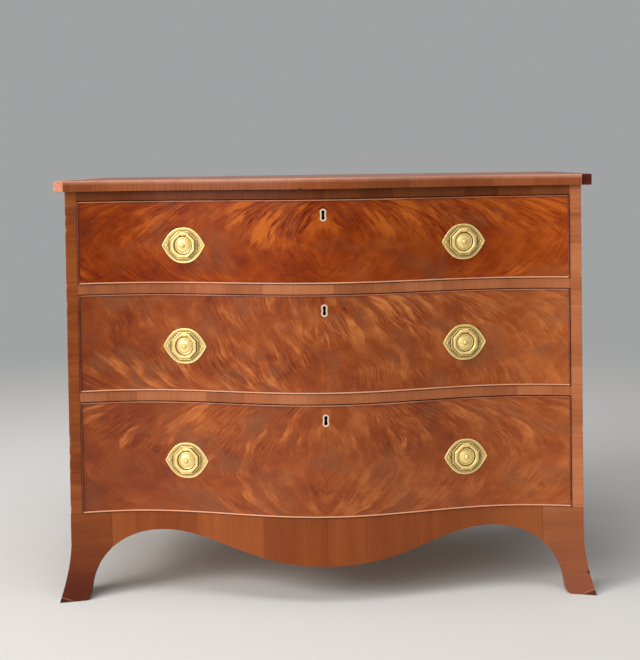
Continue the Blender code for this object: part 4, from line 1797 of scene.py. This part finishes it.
@dataclass
class Keyhole:
    """A drawer's keyhole and its inlaid bone rim."""

    drawer: str
    lobe: float = 0.0034
    spacing: float = 0.0118
    waist: float = 0.0009
    rim: float = 0.0034
    rim_depth: float = 0.002
    proud: float = 0.0004
    ease: float = 0.0004
    front_thickness: float = DRAWER_FRONT_THICKNESS
    lobe_steps: int = 14
    waist_steps: int = 4

    @property
    def z(self) -> float:
        """Height of the keyhole's middle."""
        low, high = box_of(f"{self.drawer}_escutcheon")
        return (low.z + high.z) / 2

    def outline(self, offset: float) -> list[tuple[float, float]]:
        """A round lobe at each end and a slight waist.

        Args:
            offset: how far the outline is grown.

        Returns:
            Its points, across and up from the keyhole's middle.
        """
        lobe = self.lobe + offset
        half = self.spacing / 2
        points = []
        for sign in (1, -1):
            for step in range(self.lobe_steps + 1):
                angle = math.pi * step / self.lobe_steps
                points.append((sign * lobe * math.cos(angle), sign * (half + lobe * math.sin(angle))))
            for step in range(1, self.waist_steps):
                share = step / self.waist_steps
                narrow = lobe - self.waist * math.sin(math.pi * share)
                points.append((-sign * narrow, sign * mixed(half, -half, share)))
        return points

    def line(self, offset: float, behind: float, tarnish: float = 0.0) -> Contour:
        """The outline on a surface behind the face.

        Args:
            offset: how far the outline is grown.
            behind: how far behind the face.
            tarnish: how dull it is.

        Returns:
            The contour.
        """
        points = self.outline(offset)

        def place(station: int) -> Point:
            """A point of the outline."""
            x, up = points[station]
            return x, FRONT.y(x, behind), self.z + up

        return Contour(place, tarnish)

    def shape(self, *lines: tuple[float, ...], closed: bool = False) -> bmesh.types.BMesh:
        """A shape through outlines of given offsets, depths and tarnish."""
        return lofted(len(self.outline(0.0)), [self.line(*line) for line in lines], closed)

    def cutters(self) -> list[bmesh.types.BMesh]:
        """What is cut from the drawer front.

        Returns:
            The recess of the rim, and the hole.
        """
        edge = self.rim + FIT
        recess = self.shape((edge, -self.rim_depth), (edge, self.rim_depth + FIT))
        return [recess, self.shape((0.0, 0.0), (0.0, 2 * self.front_thickness))]

    def build(self) -> None:
        """Makes the rim."""
        rim = self.shape(
            (self.rim, self.rim_depth, 1.0),
            (self.rim, self.proud / 2, 0.8),
            (self.rim - self.ease, -self.proud, 0.9),
            (self.rim - 3 * self.ease, -self.proud, 0.0),
            (self.ease, -self.proud, 0.0),
            (0.0, self.proud, 0.6),
            (0.0, self.rim_depth, 1.0),
            closed=True,
        )
        inlay = new_object(f"{self.drawer}_key_rim", rim)
        put(inlay, self.drawer, "bone", Bone().material(), f"{self.drawer}_escutcheon")


@dataclass
class Lock:
    """A drawer's lock: a case on a screwed plate."""

    drawer: str
    plate: float = 0.003
    plate_ease: float = 0.0006
    sill: float = 0.004
    case_share: float = 0.72
    case_ease: float = 0.0010
    screw_radius: float = 0.0026
    screw_head: float = 0.0012
    screw_across: float = 0.86
    screw_levels: tuple[float, float] = (0.2, 0.8)
    screw_sides: int = 16

    def build(self) -> None:
        """Makes the lock."""
        low, high = box_of(f"{self.drawer}_lock")
        face_y = low.y + self.plate
        case_low = (low.x * self.case_share, face_y, low.z + self.sill)
        case_high = (high.x * self.case_share, high.y, high.z)
        plate = block(low, (high.x, face_y, high.z), self.plate_ease)
        shapes = [plate, block(case_low, case_high, self.case_ease)]
        for sign in (-1, 1):
            for level in self.screw_levels:
                x, z = sign * high.x * self.screw_across, mixed(low.z, high.z, level)
                ends = (x, face_y, z), (x, face_y + self.screw_head, z)
                shapes.append(rod(self.screw_radius, *ends, self.screw_sides))
        made = new_object(f"{self.drawer}_lock_case", joined(shapes))
        put(made, self.drawer, "lock_iron", Iron().material(), f"{self.drawer}_lock")


@dataclass
class Drawer:
    """A drawer: its veneered front with bead, keyhole and handles, and its oak lining."""

    name: str
    left: Leaf
    right: Leaf
    wood: Colours
    polish: Polish
    seed: float
    smokiness: float
    strength: float
    cracked: float = 0.0
    clearance: float = 0.001
    bead_thickness: float = 0.003
    bead_proud: float = 0.0025
    bead_depth: float = 0.010
    thickness: float = DRAWER_FRONT_THICKNESS
    handle_from_middle: float = 0.280
    columns: int = 110
    rows: int = 14
    bead_columns: int = 96
    bead_rows: int = 14
    bead_facets: int = 8
    side_inner: float = 0.4815
    head_room: float = 0.006
    tail_length: float = 0.008
    tail_pitch: float = 0.042
    tail_pin: float = 0.008
    tail_flare: float = 0.0014

    @property
    def lap(self) -> float:
        """Width of the rebate that the bead lies in."""
        return self.bead_thickness + FIT

    @property
    def reach(self) -> float:
        """Half the front's width."""
        return box_of(f"{self.name}_front")[1].x

    @property
    def levels(self) -> tuple[float, float]:
        """Lowest and highest level of the front."""
        low, high = box_of(f"{self.name}_front")
        return low.z, high.z

    def front(self) -> bmesh.types.BMesh:
        """The front, rebated round its face for the bead.

        Returns:
            The front, before anything is cut from it.
        """
        rebate = self.bead_depth + FIT
        steps = ((self.lap, 0.0), (self.lap, rebate), (0.0, rebate), (0.0, self.thickness))
        low, high = self.levels

        def place(across: float, up: float, level: int) -> Point:
            """A point of the front.

            Args:
                across: share of the way across.
                up: share of the way up.
                level: the step of the rebate, from the face to the back.

            Returns:
                The point.
            """
            inset, behind = steps[level]
            x = mixed(inset - self.reach, self.reach - inset, across)
            return x, FRONT.y(x, behind), mixed(low + inset, high - inset, up)

        return gridded_block(self.columns, self.rows, len(steps) - 1, place)

    def sockets(self, sign: int) -> list[bmesh.types.BMesh]:
        """Cutters for the dovetail sockets in one end of the front, each wider at the tails' tips.

        Args:
            sign: -1 for the left end, 1 for the right.

        Returns:
            A cutter for each tail.
        """
        low, high = self.levels
        floor, head = low - self.clearance + FIT, high + self.clearance - self.head_room
        count = round((head - floor) / self.tail_pitch)
        pitch = (head - floor) / count
        wide = (pitch - self.tail_pin) / 2 + FIT
        tip, root = self.thickness - self.tail_length - FIT, self.thickness + 2 * FIT
        ends = ((tip, wide), (root, wide - self.tail_flare))
        made = []
        for index in range(count):
            middle = floor + pitch * (index + 0.5)

            def place(across: float, up: float, level: int, middle: float = middle) -> Point:
                """A point of the cutter.

                Args:
                    across: share of the way across.
                    up: share of the way up.
                    level: 0 at the tail's tip, 1 behind the front.
                    middle: the tail's height.

                Returns:
                    The point.
                """
                behind, half = ends[level]
                x = sign * mixed(self.side_inner - FIT, self.reach + self.clearance, across)
                return x, FRONT.y(x, behind), middle + mixed(-half, half, up)

            made.append(gridded_block(2, 1, 1, place))
        return made

    def bead_line(self, path: Sequence[Point], inset: float, out: float) -> Contour:
        """A line round the front, at one corner of the bead's section.

        Args:
            path: each station's place, from -1 to 1 across and up the front.
            inset: how far the line lies inside the front's edge.
            out: how far it stands before the face.

        Returns:
            The contour.
        """
        low, high = self.levels
        middle, half = (low + high) / 2, (high - low) / 2 - inset

        def place(station: int) -> Point:
            """A point of the line."""
            x = path[station][0] * (self.reach - inset)
            return x, FRONT.y(x, -out), middle + path[station][1] * half

        return Contour(place)

    def bead(self) -> bmesh.types.BMesh:
        """The bead: a strip with a round nose, mitred round the front.

        Returns:
            The bead.
        """
        runs = (self.bead_columns, self.bead_rows, self.bead_columns, self.bead_rows)
        corners = ((-1, -1), (1, -1), (1, 1), (-1, 1))
        path = []
        for run, start, end in zip(runs, corners, corners[1:] + corners[:1]):
            for step in range(run):
                path.append([mixed(first, last, step / run) for first, last in zip(start, end)])
        radius = self.bead_thickness / 2
        nose = []
        for facet in range(self.bead_facets + 1):
            angle = math.pi * facet / self.bead_facets
            out = self.bead_proud - radius + radius * math.sin(angle)
            nose.append((radius - radius * math.cos(angle), out))
        section = [(0.0, -self.bead_depth), *nose, (self.bead_thickness, -self.bead_depth)]
        return lofted(len(path), [self.bead_line(path, *corner) for corner in section], closed=True)

    def build(self) -> None:
        """Makes the front with its bead, keyhole, lock and handles, and dresses the lining."""
        low, high = self.levels
        veneer = FlameVeneer(
            f"{self.name}_flame",
            bottom_z=low,
            height=high - low,
            left=self.left,
            right=self.right,
            polish=self.polish,
            seed=self.seed,
            smokiness=self.smokiness,
            strength=self.strength,
            cracked=self.cracked,
            **self.wood,
        )
        face = new_object(f"{self.name}_face", self.front())
        keyhole = Keyhole(self.name)
        cut(face, *keyhole.cutters(), *self.sockets(-1), *self.sockets(1))
        put(face, self.name, "flame_veneer", veneer.material(), f"{self.name}_front")
        strip = new_object(f"{self.name}_cockbead", self.bead())
        wood = BeadWood(
            f"{self.name}_bead_mahogany",
            Grain.ACROSS,
            polish=BRIGHT,
            bottom_z=low,
            top_z=high,
            end_x=self.reach,
            **colours(*PINKISH),
        )
        put(strip, self.name, "beading", wood.material(), f"{self.name}_bead", sharp=60.0)
        keyhole.build()
        Lock(self.name).build()
        self.dress_lining()
        brass = Brass(f"{self.name}_brass").material()
        for side, sign in SIDES:
            RingHandle(self.name, side, sign * self.handle_from_middle).build(brass)

    def dress_lining(self) -> None:
        """Gives the drawer's sides, back and bottom their oak."""
        oak = {"polish": RAW, **colours(*OAK)}
        along = Wood(f"{self.name}_side_oak", Grain.DEEP, seed=self.seed, **oak).material()
        across = Wood(f"{self.name}_oak", Grain.ACROSS, seed=self.seed + 2, **oak).material()
        lining = {"left_side": along, "right_side": along, "back": across, "bottom": across}
        for part, finish in lining.items():
            dress(f"{self.name}_{part}", finish)


@dataclass
class Studio:
    """The floor, the soft lights, the backdrop's colour and the camera."""

    floor_size: float = 14.0
    backdrop: Colour = BACKDROP
    backdrop_strength: float = 1.0
    camera_place: Point = (-0.0054, -2.70, 0.875)
    pitch: float = 0.0277
    roll: float = -0.0142
    focal_pixels: float = 1252.0
    image_height: float = 660.0
    sensor: float = 36.0
    shift: float = -0.2052

    def build_floor(self) -> None:
        """Lays the floor."""
        bm = bmesh.new()
        bmesh.ops.create_grid(bm, x_segments=8, y_segments=8, size=self.floor_size / 2)
        floor = new_object("floor", bm)
        floor.data.materials.append(PaleFloor().material())

    def build_light(
        self, name: str, place: Point, aim: Point, size: float, power: float, colour: Colour
    ) -> None:
        """Hangs one soft light.

        Args:
            name: its name.
            place: where it hangs.
            aim: the point that it faces.
            size: the side of its square.
            power: its power in watts.
            colour: its colour.
        """
        lamp = bpy.data.lights.new(name, "AREA")
        lamp.shape = "SQUARE"
        lamp.size = size
        lamp.energy = power
        lamp.color = colour
        light = bpy.data.objects.new(name, lamp)
        light.location = place
        light.rotation_mode = "QUATERNION"
        light.rotation_quaternion = (Vector(aim) - Vector(place)).to_track_quat("-Z", "Y")
        bpy.context.scene.collection.objects.link(light)

    def build_world(self) -> None:
        """Sets the backdrop's colour, which is also the fill light."""
        world = bpy.data.worlds.new("backdrop")
        world.use_nodes = True
        sky = world.node_tree.nodes["Background"]
        sky.inputs["Color"].default_value = (*self.backdrop, 1.0)
        sky.inputs["Strength"].default_value = self.backdrop_strength
        bpy.context.scene.world = world

    def build_camera(self) -> None:
        """Sets the camera as the photograph was taken."""
        right = Vector((math.cos(self.roll), 0.0, 0.0))
        forward = Vector((0.0, math.cos(self.pitch), -math.sin(self.pitch)))
        upright = Vector((0.0, math.sin(self.pitch), math.cos(self.pitch)))
        right = right + upright * math.sin(self.roll)
        up = upright * math.cos(self.roll) - Vector((math.sin(self.roll), 0.0, 0.0))
        turn = Matrix((right, up, -forward)).transposed().to_4x4()
        data = bpy.data.cameras.new("camera")
        data.sensor_width = self.sensor
        data.lens = self.sensor * self.focal_pixels / self.image_height
        data.shift_y = self.shift
        camera = bpy.data.objects.new("camera", data)
        camera.matrix_world = Matrix.Translation(self.camera_place) @ turn
        bpy.context.scene.collection.objects.link(camera)
        bpy.context.scene.camera = camera

    def build(self) -> None:
        """Sets up the studio."""
        self.build_floor()
        self.build_world()
        self.build_light("key", (-6.0, -3.4, 4.0), (0.0, 0.0, 0.45), 2.8, 320.0, (1.0, 0.98, 0.95))
        self.build_light("front", (-3.5, -4.8, 2.9), (0.0, 0.0, 0.45), 4.2, 200.0, (1.0, 0.99, 0.98))
        self.build_light("overhead", (-0.2, -0.7, 2.9), (0.0, 0.0, 0.6), 1.4, 30.0, (1.0, 1.0, 1.0))
        self.build_camera()
        bpy.context.scene.view_settings.view_transform = "Standard"


def main() -> None:
    """Builds the chest's looks, its studio and the note of its size."""
    logging.basicConfig(level=logging.INFO, format="%(name)s: %(message)s")
    Top().build()
    Case().build()
    Base().build()
    red, brown = colours(*FLAME_RED), colours(*FLAME_BROWN)
    drawers = (
        Drawer("top_drawer", TOP_LEAF, TOP_LEAF, red, DEEP, seed=2.3, smokiness=0.45, strength=1.3),
        Drawer(
            "middle_drawer",
            MIDDLE_LEFT,
            MIDDLE_RIGHT,
            brown,
            WAXED,
            seed=31.0,
            smokiness=0.6,
            strength=1.0,
            cracked=0.45,
        ),
        Drawer(
            "bottom_drawer",
            BOTTOM_LEAF,
            BOTTOM_LEAF,
            brown,
            WAXED,
            seed=53.0,
            smokiness=0.6,
            strength=0.85,
        ),
    )
    for drawer in drawers:
        drawer.build()
    Studio().build()


if __name__ == "__main__":
    main()
